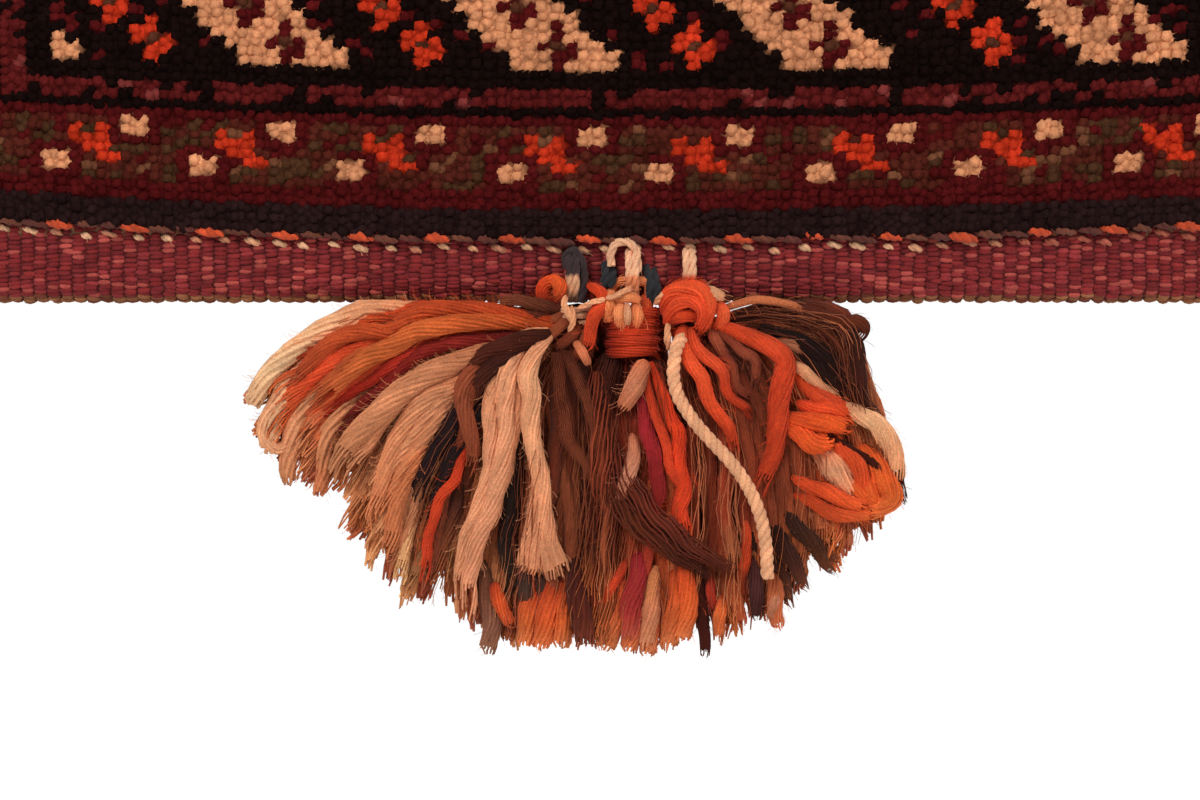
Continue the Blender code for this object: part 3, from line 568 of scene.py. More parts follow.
ROW_HEIGHT = 0.008
GROUND_COLUMNS = 76
NECK_GROUND_COLUMNS = 38
COLUMNS_PER_RIB = 3
RIB_RISE = 0.0005
RIB_ROUNDNESS = 0.7
BACK_SINK = 0.0006
ground_wool = flatwoven("undyed plain-woven wool ground", [("8a6248", -BODY_HEIGHT)])
back_wool = flatwoven("banded weft-faced wool back", [
    ("6d2430", -0.310), ("3a2320", -0.262), ("7a3a2b", -0.255), ("3a2320", -0.233), ("6d2430", -0.226),
    ("2f2226", -0.176), ("a0482f", -0.169), ("2f2226", -0.160), ("6b4030", -0.153), ("2f2226", -0.110),
    ("a0482f", -0.103), ("2f2226", -0.094), ("6d2430", -0.087), ("3a2320", -0.045), ("7a3a2b", -0.038),
    ("3a2320", -0.018), ("6d2430", -0.011), ("2f2226", 0.050), ("a0482f", 0.057), ("2f2226", 0.066),
    ("6b4030", 0.073), ("2f2226", 0.112), ("6d2430", 0.119),
])


def back_face(x, z):
    """The back with the round ribs that packed wefts make over the warps."""
    rib = abs(math.sin(math.pi * x / RIB_PITCH)) ** RIB_ROUNDNESS
    return BACK_THICKNESS - BACK_SINK + RIB_RISE * rib


def back_inside(x, z):
    return 0.0


def back_panel(name, rows, width):
    return panel(name, rows, round(COLUMNS_PER_RIB * width / RIB_PITCH), back_inside, back_face)


body_rows = even(HEM_TOP, 0.0, round(-HEM_TOP / ROW_HEIGHT))
neck_rows = even(CLEARANCE, NECK_HEIGHT, round(NECK_HEIGHT / ROW_HEIGHT))
ground = panel("ground_cloth", body_rows, GROUND_COLUMNS, ground_outer, ground_inner)
cloth_piece(ground, ground_wool, "front_ground_cloth")
neck_ground = panel("neck_ground", neck_rows, NECK_GROUND_COLUMNS, ground_outer, ground_inner)
cloth_piece(neck_ground, ground_wool, "neck_ground_cloth")
back = back_panel("back_weave", body_rows, BODY_WIDTH)
cloth_piece(back, back_wool, "back_cloth")
neck_back = back_panel("neck_back_weave", neck_rows, NECK_WIDTH)
cloth_piece(neck_back, back_wool, "neck_back_cloth")

# Knotted pile
# Every knot is a tuft of two cut yarn ends, tied row by row over the ground and combed
# downward. Dark ground, cream slanting stripes with maroon crosses, rows of red
# flowers between them, and a guard border with red hooks and cream dots.

KNOT_WIDTH = 0.00308
KNOT_HEIGHT = 0.00209
PILE_INSET = 0.0053
PILE_ROWS = 141
NECK_PILE_TOP = 0.1617
BORDER_LOW = -0.2946
BORDER_RISE_LEFT = 0.0046
BORDER_RISE_RIGHT = 0.0036
BORDER_SPREAD_LEFT = 0.1426
BORDER_SPREAD_RIGHT = 0.133
TUFT_RADIUS = 0.00150
TUFT_APART = 0.00080
TUFT_DOWN = 0.38
TUFT_STRAY = 0.09
TUFT_SIDES = 5
SHORT_END = 0.9
RIM_HEIGHT = 0.88
FIBRES = 6
FIBRE_TURN = 0.382
ROW_UNEVEN = 0.04
KNOT_UNEVEN = 0.09
BED_HEIGHT = 0.0033
# Painted shade on the bed of wool between the tufts.
PAINTED_BED_SHADE = 0.3
FIBRE_WIDTH = 0.00016
FIBRE_LENGTH = 0.0011
FIBRE_ROOT = 0.85
FIBRE_INNER = 0.35
FIBRE_SPREAD = 0.9
FIBRE_OUT = 0.45
FIBRE_UP = 0.75
COLUMNS = 120
NECK_COLUMNS = 58

BLACK, NAVY, MAROON, MADDER, PINK = "150b0a", "271819", "4e1214", "581a1a", "783432"
BROWN, OLIVE, TAN, RED, CREAM = "50221a", "482e1e", "6c4430", "bc341c", "d09068"
EARTH = "502d20"

HOOK = {10: (-2, 0), 9: (-2, -1, 0), 8: (-1, 0), 7: (0, 1)}
UPPER_DOT = {11: (2, 3), 10: (2, 3)}
LOWER_DOT = {7: (-4, -3), 6: (-4, -3)}
HOOK_FIRST = 21
HOOK_STEP = 11.45
GUARD_ROWS = range(5, 12)
GUARD_SPECKLE = ((0.56, BROWN), (0.78, OLIVE), (0.88, TAN), (1.0, MAROON))
FADED_SHARE = 0.08
DARK_FROM = 0.85
PLAIN_BORDER = {0: NAVY, 1: NAVY, 2: NAVY, 3: MAROON, 4: MAROON, 12: MAROON, 13: BLACK, 14: MADDER,
                15: MADDER, 16: BLACK, 17: BLACK}
BORDER_DEPTH = 18
FIRST_FIELD_ROW = 18
STRIPE_WIDTH = 8
FLECKS_BESIDE = 0.30
FLECKS_APART = 0.05
STRIPE_STARTS = [12 + 20 * k for k in range(-8, 4)] + [94 + 20 * k for k in range(10)]
STEP_ROWS = 4
STEP_KNOTS = 3
MOTIF_ROW = 20
CROSS_COLUMN = 4
FLOWER_BACK = 6
CROSS = {(0, 0), (0, 1), (0, 2), (0, -1), (0, -2), (-1, 0), (1, 0), (1, -1)}
FLOWER = {(0, 1), (0, 2), (0, -1), (0, -2), (-1, 0), (-1, 1), (1, 0), (1, -1)}


def guard_dye(depth, along, chance):
    """Red hooks, each between a low and a high cream dot, on speckled brown."""
    number = round((along - HOOK_FIRST) / HOOK_STEP)
    centre = math.floor(HOOK_FIRST + HOOK_STEP * number)
    offset = along - centre
    if offset in HOOK.get(depth, ()):
        return RED
    for dot in (UPPER_DOT, LOWER_DOT):
        if offset in dot.get(depth, ()):
            return CREAM
        cells = [cell for row in dot.values() for cell in row]
        middle = sum(cells) / len(cells)
        if abs(offset - middle) < 2 and min(dot) - 1 <= depth <= max(dot) + 1:
            return MAROON
    return next(dye for limit, dye in GUARD_SPECKLE if chance < limit)


def border_dye(depth, along, chance):
    """The guard, or a plain row with a few faded flecks in the maroon."""
    if depth in GUARD_ROWS:
        return guard_dye(depth, along, chance)
    plain = PLAIN_BORDER[max(0, depth)]
    if plain != MADDER:
        return plain
    return PINK if chance < FADED_SHARE else BLACK if chance > DARK_FROM else plain


def field_dye(row, column, chance):
    """Slanting cream stripes with crosses; flowers on the dark ground between them."""
    slide = column + math.floor(STEP_KNOTS * (row - FIRST_FIELD_ROW) / STEP_ROWS)
    before = max(start for start in STRIPE_STARTS if start <= slide)
    after = min(start for start in STRIPE_STARTS if start > slide)
    place = slide - before
    step = math.floor((row - MOTIF_ROW) / STEP_ROWS + 0.5)
    for number in range(max(0, step - 1), step + 2):
        down = row - MOTIF_ROW - STEP_ROWS * number
        start_slide = STEP_KNOTS * (MOTIF_ROW - FIRST_FIELD_ROW + STEP_ROWS * number) // STEP_ROWS
        for shape, middle, dye in ((CROSS, before + CROSS_COLUMN, MAROON),
                                   (FLOWER, after - FLOWER_BACK, RED)):
            sideways = column - (middle - start_slide)
            if (sideways, down) == (0, 0):
                return EARTH
            if (sideways, down) in shape:
                return dye
    if place < STRIPE_WIDTH:
        return CREAM
    beside = place in (STRIPE_WIDTH + 1, after - before - 2)
    return MAROON if chance < (FLECKS_BESIDE if beside else FLECKS_APART) else BLACK


def border_rise(x):
    """How far the pile's lower edge lies above its lowest point: the bag sags in the middle."""
    rise, spread = ((BORDER_RISE_LEFT, BORDER_SPREAD_LEFT) if x < 0 else
                    (BORDER_RISE_RIGHT, BORDER_SPREAD_RIGHT))
    return rise * min(1.0, abs(x) / spread) ** 2


def body_knot(row, column):
    """Where a knot of the body is tied, or None outside the pile."""
    x = (column + 0.5 - COLUMNS / 2) * KNOT_WIDTH
    low = BORDER_LOW + border_rise(x)
    z = low + (row + 0.5) * (-low / PILE_ROWS)
    over_shoulder = z > -PILE_INSET and abs(x) > NECK_WIDTH / 2 - PILE_INSET
    if over_shoulder or abs(x) > half_width(z) - PILE_INSET + KNOT_WIDTH / 4:
        return None
    return Vector((x, pile_inner(x, z), z))


def neck_knot(row, column):
    """Where a knot of the neck is tied."""
    x = (column + 0.5 - NECK_COLUMNS / 2) * KNOT_WIDTH
    z = CLEARANCE + (row + 0.5) * KNOT_HEIGHT
    return Vector((x, pile_inner(x, z), z))


def body_dye(row, column, chance):
    """Border or field, by the knots to the nearest edge of the pile."""
    from_side = min(column, COLUMNS - 1 - column)
    inside_neck = from_side - (COLUMNS - NECK_COLUMNS) // 2
    from_top = max(inside_neck, PILE_ROWS - 2 - row)
    depth = min(row, from_side, from_top)
    if depth >= BORDER_DEPTH:
        return field_dye(row, column, chance)
    along = column if depth in (row, from_top) and depth != from_side else row
    return border_dye(depth, along, chance)


NECK_ROWS = math.floor((NECK_PILE_TOP - CLEARANCE) / KNOT_HEIGHT)


def neck_dye(row, column, chance):
    """The same border up the neck and across below its mouth."""
    from_side = min(column, NECK_COLUMNS - 1 - column)
    from_top = NECK_ROWS - 1 - row
    depth = min(from_side, from_top)
    if depth >= BORDER_DEPTH:
        return field_dye(row + PILE_ROWS, column + (COLUMNS - NECK_COLUMNS) // 2, chance)
    along = row if depth == from_side else column
    return border_dye(depth, along, chance)


def knot_mesh():
    """Two cut yarn ends side by side, drawn in at the root and round at the tip, and loose fibres, with
    painted shade towards the roots.
    """
    points, faces, painted_root_shades = [], [], []
    for side, tall in ((-1, 1.0), (1, SHORT_END)):
        rim, root, tip = len(points), len(points) + TUFT_SIDES, len(points) + TUFT_SIDES + 1
        for k in range(TUFT_SIDES):
            n = (k + 1) % TUFT_SIDES
            angle = 2 * math.pi * k / TUFT_SIDES + side
            points.append((side * TUFT_APART + TUFT_RADIUS * math.cos(angle), TUFT_RADIUS * math.sin(angle),
                           PILE_HEIGHT * tall * RIM_HEIGHT))
            faces += [(root, rim + n, rim + k), (rim + k, rim + n, tip)]
        points += [(side * TUFT_APART * 0.6, 0.0, 0.0), (side * TUFT_APART, 0.0, PILE_HEIGHT * tall)]
        # Painted shade: darkest at the root, the rim darker than the tip, the tip lightest.
        painted_root_shades += [0.75] * TUFT_SIDES + [0.1, 1.0]
    for k in range(FIBRES):
        angle = 2 * math.pi * k * FIBRE_TURN + 0.4
        away = Vector((math.cos(angle), math.sin(angle), 0.0))
        across = Vector((-away.y, away.x, 0.0)) * FIBRE_WIDTH / 2
        root = (away * TUFT_RADIUS * (FIBRE_INNER + FIBRE_SPREAD * k / FIBRES)
                + Vector((0, 0, PILE_HEIGHT * FIBRE_ROOT)))
        tip = root + away * FIBRE_LENGTH * FIBRE_OUT + Vector((0, 0, FIBRE_LENGTH * FIBRE_UP))
        faces.append(tuple(range(len(points), len(points) + 3)))
        points += [root - across, root + across, tip]
        # Painted shade: each fibre darker at its root.
        painted_root_shades += [0.7, 0.7, 1.0]
    knot = new_piece("knot", points, faces=faces)
    knot.data.shade_smooth()
    knot.data.attributes.new("shade", "FLOAT", "POINT").data.foreach_set("value", painted_root_shades)
    return knot


def knotting_tree():
    """Ties a tuft at each point, leaning as the point's own lean says, in a bed of packed wool darkened as
    painted shade between the tufts.
    """
    tree, given = growing_tree("knotting", {
        "Knot": "Object", "Least Size": "Vector", "Most Size": "Vector", "Twist": "Float",
        "Bed Height": "Float", "Bed Shade": "Float", "Material": "Material"})
    knot = add(tree, "GeometryNodeObjectInfo", {"Object": (given, "Knot"), "As Instance": True})
    lean = mark(tree, "lean", "FLOAT_VECTOR")
    turn = add(tree, "FunctionNodeAlignRotationToVector", {"Vector": lean}, axis="Z")
    spin = random_value(tree, reckon(tree, "MULTIPLY", (given, "Twist"), -1.0), (given, "Twist"), 2)
    spin = add(tree, "FunctionNodeAxisAngleToRotation", {"Axis": (0.0, 0.0, 1.0), "Angle": spin})
    turn = add(tree, "FunctionNodeRotateRotation", {"Rotation": turn, "Rotate By": spin},
               rotation_space="LOCAL")
    size = random_value(tree, (given, "Least Size"), (given, "Most Size"), 4, "FLOAT_VECTOR")
    tufts = add(tree, "GeometryNodeInstanceOnPoints", {
        "Points": (given, "Geometry"), "Instance": (knot, "Geometry"), "Rotation": turn, "Scale": size})
    rise = scaled(tree, lean, (given, "Bed Height"))
    bed = add(tree, "GeometryNodeSetPosition", {"Geometry": (given, "Geometry"), "Offset": rise})
    # The bed: the same dyes darkened as painted shade between the tufts.
    bed = marked(tree, bed, "shade", (given, "Bed Shade"))
    bed = add(tree, "GeometryNodeSetShadeSmooth", {"Geometry": bed})
    together = add(tree, "GeometryNodeJoinGeometry")
    tree.links.new(bed.outputs[0], together.inputs[0])
    tree.links.new(tufts.outputs[0], together.inputs[0])
    close_tree(tree, together, given)
    return tree


def uneven(colour, light):
    """A dye made lighter or darker, as linear RGBA."""
    return [max(0.0, channel * light) for channel in dyed(colour)[:3]] + [1.0]


def knotted(name, points, faces, leans, dyes, values):
    """A sheet of points that each carry a lean and a dye, with a knot tied at every one."""
    guide = new_piece(name, points, faces=faces)
    guide.data.attributes.new("lean", "FLOAT_VECTOR", "POINT").data.foreach_set("vector", leans)
    guide.data.attributes.new("dye", "FLOAT_COLOR", "POINT").data.foreach_set("color", dyes)
    return grown(guide, knotting, values)


def tie_pile(name, rows, columns, place, dye_of, draw):
    """The pile of some rows, each knot with its dye and lean, on a sheet of the same dyes darkened as painted
    shade.
    """
    index, points, leans, dyes, faces = {}, [], [], [], []
    for row in rows:
        row_light = draw.gauss(1.0, ROW_UNEVEN)
        for column in range(columns):
            spot = place(row, column)
            if spot is None:
                continue
            index[row, column] = len(points)
            slope = hollow(spot.x + KNOT_WIDTH, spot.z) - hollow(spot.x - KNOT_WIDTH, spot.z)
            lean = Vector((-slope / (2 * KNOT_WIDTH) + draw.gauss(0, TUFT_STRAY), -1.0,
                           -TUFT_DOWN + draw.gauss(0, TUFT_STRAY)))
            points.append(spot)
            leans += tuple(lean.normalized())
            light = row_light * draw.gauss(1.0, KNOT_UNEVEN)
            dyes += uneven(dye_of(row, column, draw.random()), light)
    for (row, column), a in index.items():
        corners = [index.get((row + up, column + on)) for up, on in ((0, 1), (1, 1), (1, 0))]
        if None not in corners:
            faces.append((a, *corners))
    return knotted(name, points, faces, leans, dyes, {
        "Knot": knot, "Least Size": (0.88, 0.88, 0.94), "Most Size": (1.14, 1.14, 1.05), "Twist": 0.8,
        "Bed Height": BED_HEIGHT, "Bed Shade": PAINTED_BED_SHADE, "Material": pile_wool})


knot = knot_mesh()
knotting = knotting_tree()
pile_wool = wool("hand-knotted wool pile", fibre=0.0008, depth=0.0004, sheen=0.0, gloss=0.02,
                 darkest=0.60)
pile_draw = random.Random(11)
PILE_BANDS = ((0, 47), (47, 94), (94, PILE_ROWS))
for number, (first, last) in enumerate(PILE_BANDS):
    overlap = 1 if last < PILE_ROWS else 0
    band = tie_pile("pile_band_" + str(number + 1), range(first, last + overlap), COLUMNS, body_knot,
                    body_dye, pile_draw)
    if last < PILE_ROWS:
        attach(band, "bag")
    else:
        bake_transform(band)
    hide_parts("front_pile")
neck_band = tie_pile("pile_neck", range(NECK_ROWS), NECK_COLUMNS, neck_knot, neck_dye, pile_draw)
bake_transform(neck_band)
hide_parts("neck_pile")
bpy.data.objects.remove(knot)

# Hem
# The flat-woven edge below the pile, turned under to close the bag. Wefts in several
# madder reds are packed over thick warps, so it shows ribs of short stacked floats.

HEM_RIB = 0.0030
HEM_PICK = 0.00105
FLOAT_LENGTH = 0.0031
FLOAT_THICKNESS = 0.00160
FLOAT_RISE = 0.0005
HEM_WALL = 0.0014
LOW_EDGE = 0.0011
HEM_OVER_GROUND = 0.0003
HEM_DYES = ("84292c", "8c2e30", "78262a", "96363a", "b0504a", "802b2e")
LOW_EDGE_DYES = ("8e5a3e", "a06a48", "7c4330")
HOLE_RADIUS = 0.0021
HOLE_HEIGHT = -0.2995
HOLE_PLACES = (-0.0109, 0.0028, 0.0160)
BASE_COLUMNS = 95
BASE_STEP = 0.0016
FLOAT_SIDES = 5
FLOAT_STATIONS = ((-0.34, 0.70), (0.0, 1.0), (0.34, 0.70))
FLOAT_SINK = 0.9
FLOAT_STRAY = (0.0002, 0.00012)


def edge_height(x):
    """Height of the pile's lower edge, where the hem starts."""
    return BORDER_LOW + border_rise(x)


def hem_line(x, step):
    """Points and outward normals down the front of the hem, round the fold and up the back."""
    front = ground_outer(x, HEM_TOP) - HEM_OVER_GROUND
    radius = (BACK_THICKNESS - front) / 2
    middle = front + radius
    fold = -BODY_HEIGHT + radius
    straight = edge_height(x) - fold
    turn = math.pi * radius
    whole = straight + turn + HEM_TOP - fold
    count = round(whole / step)
    line = []
    for k in range(count + 1):
        s = whole * k / count
        if s < straight:
            z = fold + straight - s
            stand = ground_outer(x, max(z, HEM_TOP)) - HEM_OVER_GROUND
            line.append((Vector((x, stand, z)), Vector((0, -1, 0))))
        elif s < straight + turn:
            angle = (s - straight) / radius
            out = Vector((0, -math.cos(angle), -math.sin(angle)))
            line.append((Vector((x, middle, fold)) + radius * out, out))
        else:
            line.append((Vector((x, BACK_THICKNESS, fold + s - straight - turn)), Vector((0, 1, 0))))
    return line


def hem_base():
    """The closed fold under the floats, as thick as the warps."""
    xs = even(-BODY_WIDTH / 2, BODY_WIDTH / 2, BASE_COLUMNS)
    outer = [hem_line(x, BASE_STEP) for x in xs]
    count = min(len(line) for line in outer)
    points = []
    for line in outer:
        picked = [line[round(k * (len(line) - 1) / (count - 1))] for k in range(count)]
        points += [spot - out * FLOAT_RISE for spot, out in picked]
        points += [spot - out * (FLOAT_RISE + HEM_WALL) for spot, out in reversed(picked)]
    ring = 2 * count
    faces = []
    for a in range(len(xs) - 1):
        for k in range(ring):
            n = (k + 1) % ring
            faces.append((a * ring + k, a * ring + n, (a + 1) * ring + n, (a + 1) * ring + k))
    for start in (0, (len(xs) - 1) * ring):
        for k in range(count - 1):
            faces.append((start + k, start + k + 1, start + ring - 2 - k, start + ring - 1 - k))
    return new_piece("hem_warps", points, faces=faces)


def float_mesh():
    """One short weft float: a low oval cushion, widest in the middle."""
    points, faces = [(-FLOAT_LENGTH / 2, 0.0, 0.0)], []
    for place, wide in FLOAT_STATIONS:
        for k in range(FLOAT_SIDES):
            angle = 2 * math.pi * k / FLOAT_SIDES
            points.append((place * FLOAT_LENGTH, FLOAT_THICKNESS / 2 * wide * math.cos(angle),
                           FLOAT_THICKNESS / 2 * wide * math.sin(angle)))
    points.append((FLOAT_LENGTH / 2, 0.0, 0.0))
    for k in range(FLOAT_SIDES):
        n = (k + 1) % FLOAT_SIDES
        faces.append((0, 1 + n, 1 + k))
        for ring in range(len(FLOAT_STATIONS) - 1):
            a = 1 + ring * FLOAT_SIDES
            faces.append((a + k, a + n, a + FLOAT_SIDES + n, a + FLOAT_SIDES + k))
        a = 1 + (len(FLOAT_STATIONS) - 1) * FLOAT_SIDES
        faces.append((a + k, a + n, len(points) - 1))
    item = new_piece("float", points, faces=faces)
    item.data.shade_smooth()
    item.data.attributes.new("shade", "FLOAT", "POINT").data.foreach_set("value", [0.6] * len(points))
    return item


def hem_floats():
    """A float at each crossing; every other rib is half a pick lower."""
    draw = random.Random(5)
    points, leans, dyes = [], [], []
    for rib in range(round(BODY_WIDTH / HEM_RIB)):
        x = -BODY_WIDTH / 2 + (rib + 0.5) * HEM_RIB
        line = hem_line(x, HEM_PICK / 2)
        for k in range(rib % 2, len(line), 2):
            spot, out = line[k]
            if any(math.hypot(x - hole, spot.z - HOLE_HEIGHT) < HOLE_RADIUS and out.y < 0
                   for hole in HOLE_PLACES):
                continue
            low = spot.z < -BODY_HEIGHT + LOW_EDGE
            colour = draw.choice(LOW_EDGE_DYES if low else HEM_DYES)
            dyes += uneven(colour, draw.gauss(1.0, KNOT_UNEVEN))
            stray = Vector((draw.gauss(0, FLOAT_STRAY[0]), 0, draw.gauss(0, FLOAT_STRAY[1])))
            points.append(spot + stray - out * FLOAT_RISE * FLOAT_SINK)
            leans += tuple(out)
    return knotted("hem_weave", points, (), leans, dyes, {
        "Knot": weft_float, "Least Size": (0.9, 0.9, 0.8), "Most Size": (1.15, 1.1, 1.25), "Twist": 0.10,
        "Bed Height": 0.0, "Bed Shade": 0.0, "Material": hem_wool})


weft_float = float_mesh()
hem_wool = wool("packed madder wool weft", fibre=0.0005, depth=0.0003, sheen=0.05, gloss=0.1)
warp_wool = flatwoven("dark wool under the floats", [("6a2226", -BODY_HEIGHT)])
hem_body = hem_base()
hem_body.data.materials.append(warp_wool)
for piece in (hem_body, hem_floats()):
    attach(piece, "bag")
    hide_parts("hem_fold")
bpy.data.objects.remove(weft_float)

# Twined row and cream stitches
# Two yarns twined round each other close the lower edge of the pile: orange shows
# every third turn, faded brown between. Under it runs a row of cream wool stitches.

TWINE_STEP = 0.0058
TWINE_THICKNESS = 0.0025
TWINE_DIP = 0.0009
TWINE_DROP = 0.0015
TWINE_DYES = ("d0502a", "6e3c2c", "602e26")
TWINE_SINK = 0.8
TWINE_LEAN = 0.0005
TWINE_HALVES = (0.46, 0.60)
FULL_TURN = (0.95, 1.25)
FADED_TURN = (0.75, 0.95)
STITCH_STEP = 0.0064
STITCH_LENGTH = 0.0033
STITCH_THICKNESS = 0.0020
STITCH_DROP = 0.0036
STITCH_DYES = ("f2bf96", "f2bf96", "e8ac84", "d08c6c")
STITCH_FADED = "b5604c"
STITCH_FADES_FROM = 0.070
STITCH_FADES_OVER = 0.05
STITCH_LEAN = 0.35
STITCH_LIFT = 0.0008
STITCH_STRAY = 0.0004
STITCH_HALVES = (0.65, 1.1)
STITCH_FULL = (0.75, 1.05)
YARN_END = 0.55
SPUN = {"Plies": 2, "Ply Sides": 6, "Core Sides": 5, "Core Share": 0.4, "Wander": 0.15, "Hairs": 3e5,
        "Hair Length": 0.0014, "Hair Width": 0.00006, "Fray": 0.0}


def short_yarn(start, end, out, thickness, colour, points=7):
    """A stitch that rises out of the cloth and goes back in."""
    line, girth = [], []
    for k in range(points):
        share = k / (points - 1)
        lift = math.sin(math.pi * share)
        line.append(start.lerp(end, share) + out * lift)
        girth.append(thickness * mix(YARN_END, 1, lift))
    return line, girth, [colour] * points


def twined_strands():
    draw = random.Random(21)
    strands = []
    reach = BODY_WIDTH / 2 - PILE_INSET
    for number in range(round(2 * reach / TWINE_STEP)):
        x = -reach + (number + 0.5) * TWINE_STEP
        z = edge_height(x) - TWINE_DROP + draw.gauss(0, 0.0003)
        face = ground_outer(x, max(z, HEM_TOP)) - TWINE_THICKNESS * TWINE_SINK
        half = TWINE_STEP * draw.uniform(*TWINE_HALVES)
        start, end = Vector((x - half, face, z + TWINE_LEAN)), Vector((x + half, face, z - TWINE_LEAN))
        turn = number % len(TWINE_DYES)
        full = draw.uniform(*FADED_TURN if turn else FULL_TURN)
        strands.append(short_yarn(start, end, Vector((0, -TWINE_DIP, 0)), TWINE_THICKNESS * full,
                                  dyed(TWINE_DYES[turn])))
    return strands


def stitch_strands():
    draw = random.Random(22)
    strands = []
    reach = BODY_WIDTH / 2 - PILE_INSET
    for number in range(round(2 * reach / STITCH_STEP)):
        x = -reach + (number + 0.5) * STITCH_STEP + draw.gauss(0, STITCH_STRAY)
        z = edge_height(x) - STITCH_DROP + draw.gauss(0, STITCH_STRAY)
        face = ground_outer(x, max(z, HEM_TOP))
        half = STITCH_LENGTH / 2 * draw.uniform(*STITCH_HALVES)
        faded = draw.random() < ease((x - STITCH_FADES_FROM) / STITCH_FADES_OVER)
        lean = half * STITCH_LEAN
        start, end = Vector((x - half, face, z + lean)), Vector((x + half, face, z - lean))
        colour = dyed(STITCH_FADED if faded else draw.choice(STITCH_DYES))
        strands.append(short_yarn(start, end, Vector((0, -STITCH_LIFT, 0)),
                                  STITCH_THICKNESS * draw.uniform(*STITCH_FULL), colour))
    return strands


twine_wool = wool("two-colour twined wool")
stitch_wool = wool("cream wool stitches")
twined = grown(yarn_guide("twined_yarns", twined_strands()), spinning,
               {"Ply Share": 0.62, "Lay Share": 0.4, "Turns": 260.0, "Material": twine_wool, **SPUN})
stitches = grown(yarn_guide("cream_stitches", stitch_strands()), spinning,
                 {"Ply Share": 0.66, "Lay Share": 0.36, "Turns": 220.0, "Material": stitch_wool, **SPUN})
for piece, slot in ((twined, "twining"), (stitches, "cream_yarn")):
    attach(piece, "bag")
    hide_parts("twining_row")

# Hanging loops
# Three rings of wool threaded through the hem, each doubled: navy on the left and cream
# for the other two, with another dye at the bottom. A tassel's eye hangs in each one like
# a link of a chain. Navy ends and two spare bights of yarn lie beside the rings.

RING_MIDDLE_Y = -0.0073
RING_MIDDLE_Z = -0.3040
RING_RADIUS = 0.0056
RING_YARN = 0.0021
RING_APART = 0.0013
RING_STEPS = 40
TASSEL_X = {"left": -0.0109, "centre": 0.0028, "right": 0.0160}
RING_DYES = {"left": ("35262a", "dca882"), "centre": ("ecb892", "e88e60"), "right": ("ecb892", "d8562f")}
RING_CHANGE_Z = -0.3047
NAVY_END_DYE = "262a30"
NAVY_END_DEPTHS = (-0.0080, -0.0110, -0.0112)
SPARE_STEPS = 4
NAVY_ENDS = [((605, 263), (606, 274), (603, 288)), ((612, 268), (613, 277), (609, 287)),
             ((646, 266), (650, 284), (648, 310)), ((653, 270), (657, 288), (655, 304))]
SPARE_LENGTHS = {"left": ("35262a", [(567, 268), (566, 256), (574, 251), (582, 262), (584, 284), (581, 302)]),
                 "centre": ("ecb892", [(611, 266), (611, 252), (617, 243), (627, 242), (636, 250),
                                       (638, 272)])}
SPARE_DEPTH = -0.0113
TIGHT = {"Plies": 3, "Ply Sides": 7, "Ply Share": 0.54, "Lay Share": 0.48, "Turns": 110.0, "Wander": 0.1,
         "Core Share": 0.4, "Core Sides": 5, "Hairs": 6e5, "Hair Length": 0.0016, "Hair Width": 0.00005,
         "Fray": 0.0}

loop_wool = wool("doubled wool of the hanging loops", fibre=0.0004)
for side, x in TASSEL_X.items():
    rings = []
    for shift in (-RING_APART / 2, RING_APART / 2):
        line, dyes = [], []
        for k in range(RING_STEPS + 1):
            angle = 2 * math.pi * k / RING_STEPS
            line.append(Vector((x + shift, RING_MIDDLE_Y + RING_RADIUS * math.sin(angle),
                                RING_MIDDLE_Z + RING_RADIUS * math.cos(angle))))
            dyes.append(dyed(RING_DYES[side][line[-1].z < RING_CHANGE_Z]))
        rings.append((line, [RING_YARN] * len(line), dyes))
    if side in SPARE_LENGTHS:
        colour, route = SPARE_LENGTHS[side]
        line = smooth([seen(px, py, SPARE_DEPTH) for px, py in route], SPARE_STEPS)
        rings.append((line, [RING_YARN] * len(line), [dyed(colour)] * len(line)))
    if side == "centre":
        for route in NAVY_ENDS:
            line = smooth([seen(px, py, y) for (px, py), y in zip(route, NAVY_END_DEPTHS)], SPARE_STEPS)
            rings.append((line, [RING_YARN] * len(line), [dyed(NAVY_END_DYE)] * len(line)))
    ring = grown(yarn_guide(side + "_loop_yarn", rings), spinning, {"Material": loop_wool, **TIGHT})
    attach(ring, "bag")
    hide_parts(side + "_hanging_loop")

# Left tassel
# Loosely spun wool in doubled lengths of orange, maroon, beige, navy and cream, folded over
# its loop and tied with a cream thread. The lengths arch over sideways and hang in a fan.

YARN_STEPS = 4
ROOT_TAPER = 0.12
TIP_TAPER = 0.05
WAVE = 0.0011
WAVE_SCALE = 140.0
WAVE_SEED = 7
YARN_LIGHT = (1.26, 1.08, 0.98)
FULLNESS = 1.16
LOOSE = {"Plies": 13, "Ply Sides": 3, "Ply Share": 0.15, "Lay Share": 0.86, "Turns": 20.0, "Wander": 0.5,
         "Core Share": 0.92, "Core Sides": 8, "Hairs": 4.5e5, "Hair Length": 0.0026, "Hair Width": 0.00006,
         "Fray": 0.13}
UNDER = {**LOOSE, "Plies": 8, "Ply Share": 0.28, "Hairs": 2e5, "Fray": 0.05}
HAIRY = {"Plies": 15, "Ply Sides": 3, "Ply Share": 0.09, "Lay Share": 1.05, "Turns": 14.0, "Wander": 1.6,
         "Core Share": 0.5, "Core Sides": 5, "Hairs": 4e5, "Hair Length": 0.0040, "Hair Width": 0.00007,
         "Fray": 0.07}
STRAY_HAIR = {**HAIRY, "Plies": 7, "Ply Share": 0.05, "Wander": 2.6, "Core Share": 0.1}
WASHED_TIPS = ("c87a48", "c0703e", "d8a070", "b8704c", "a8604a")
FILL_GIRTH = (12, 18)
FILL_ROOT_DEPTH = 9.5
FILL_ROOT_GIRTH = 11
FILL_REACH = 1.02
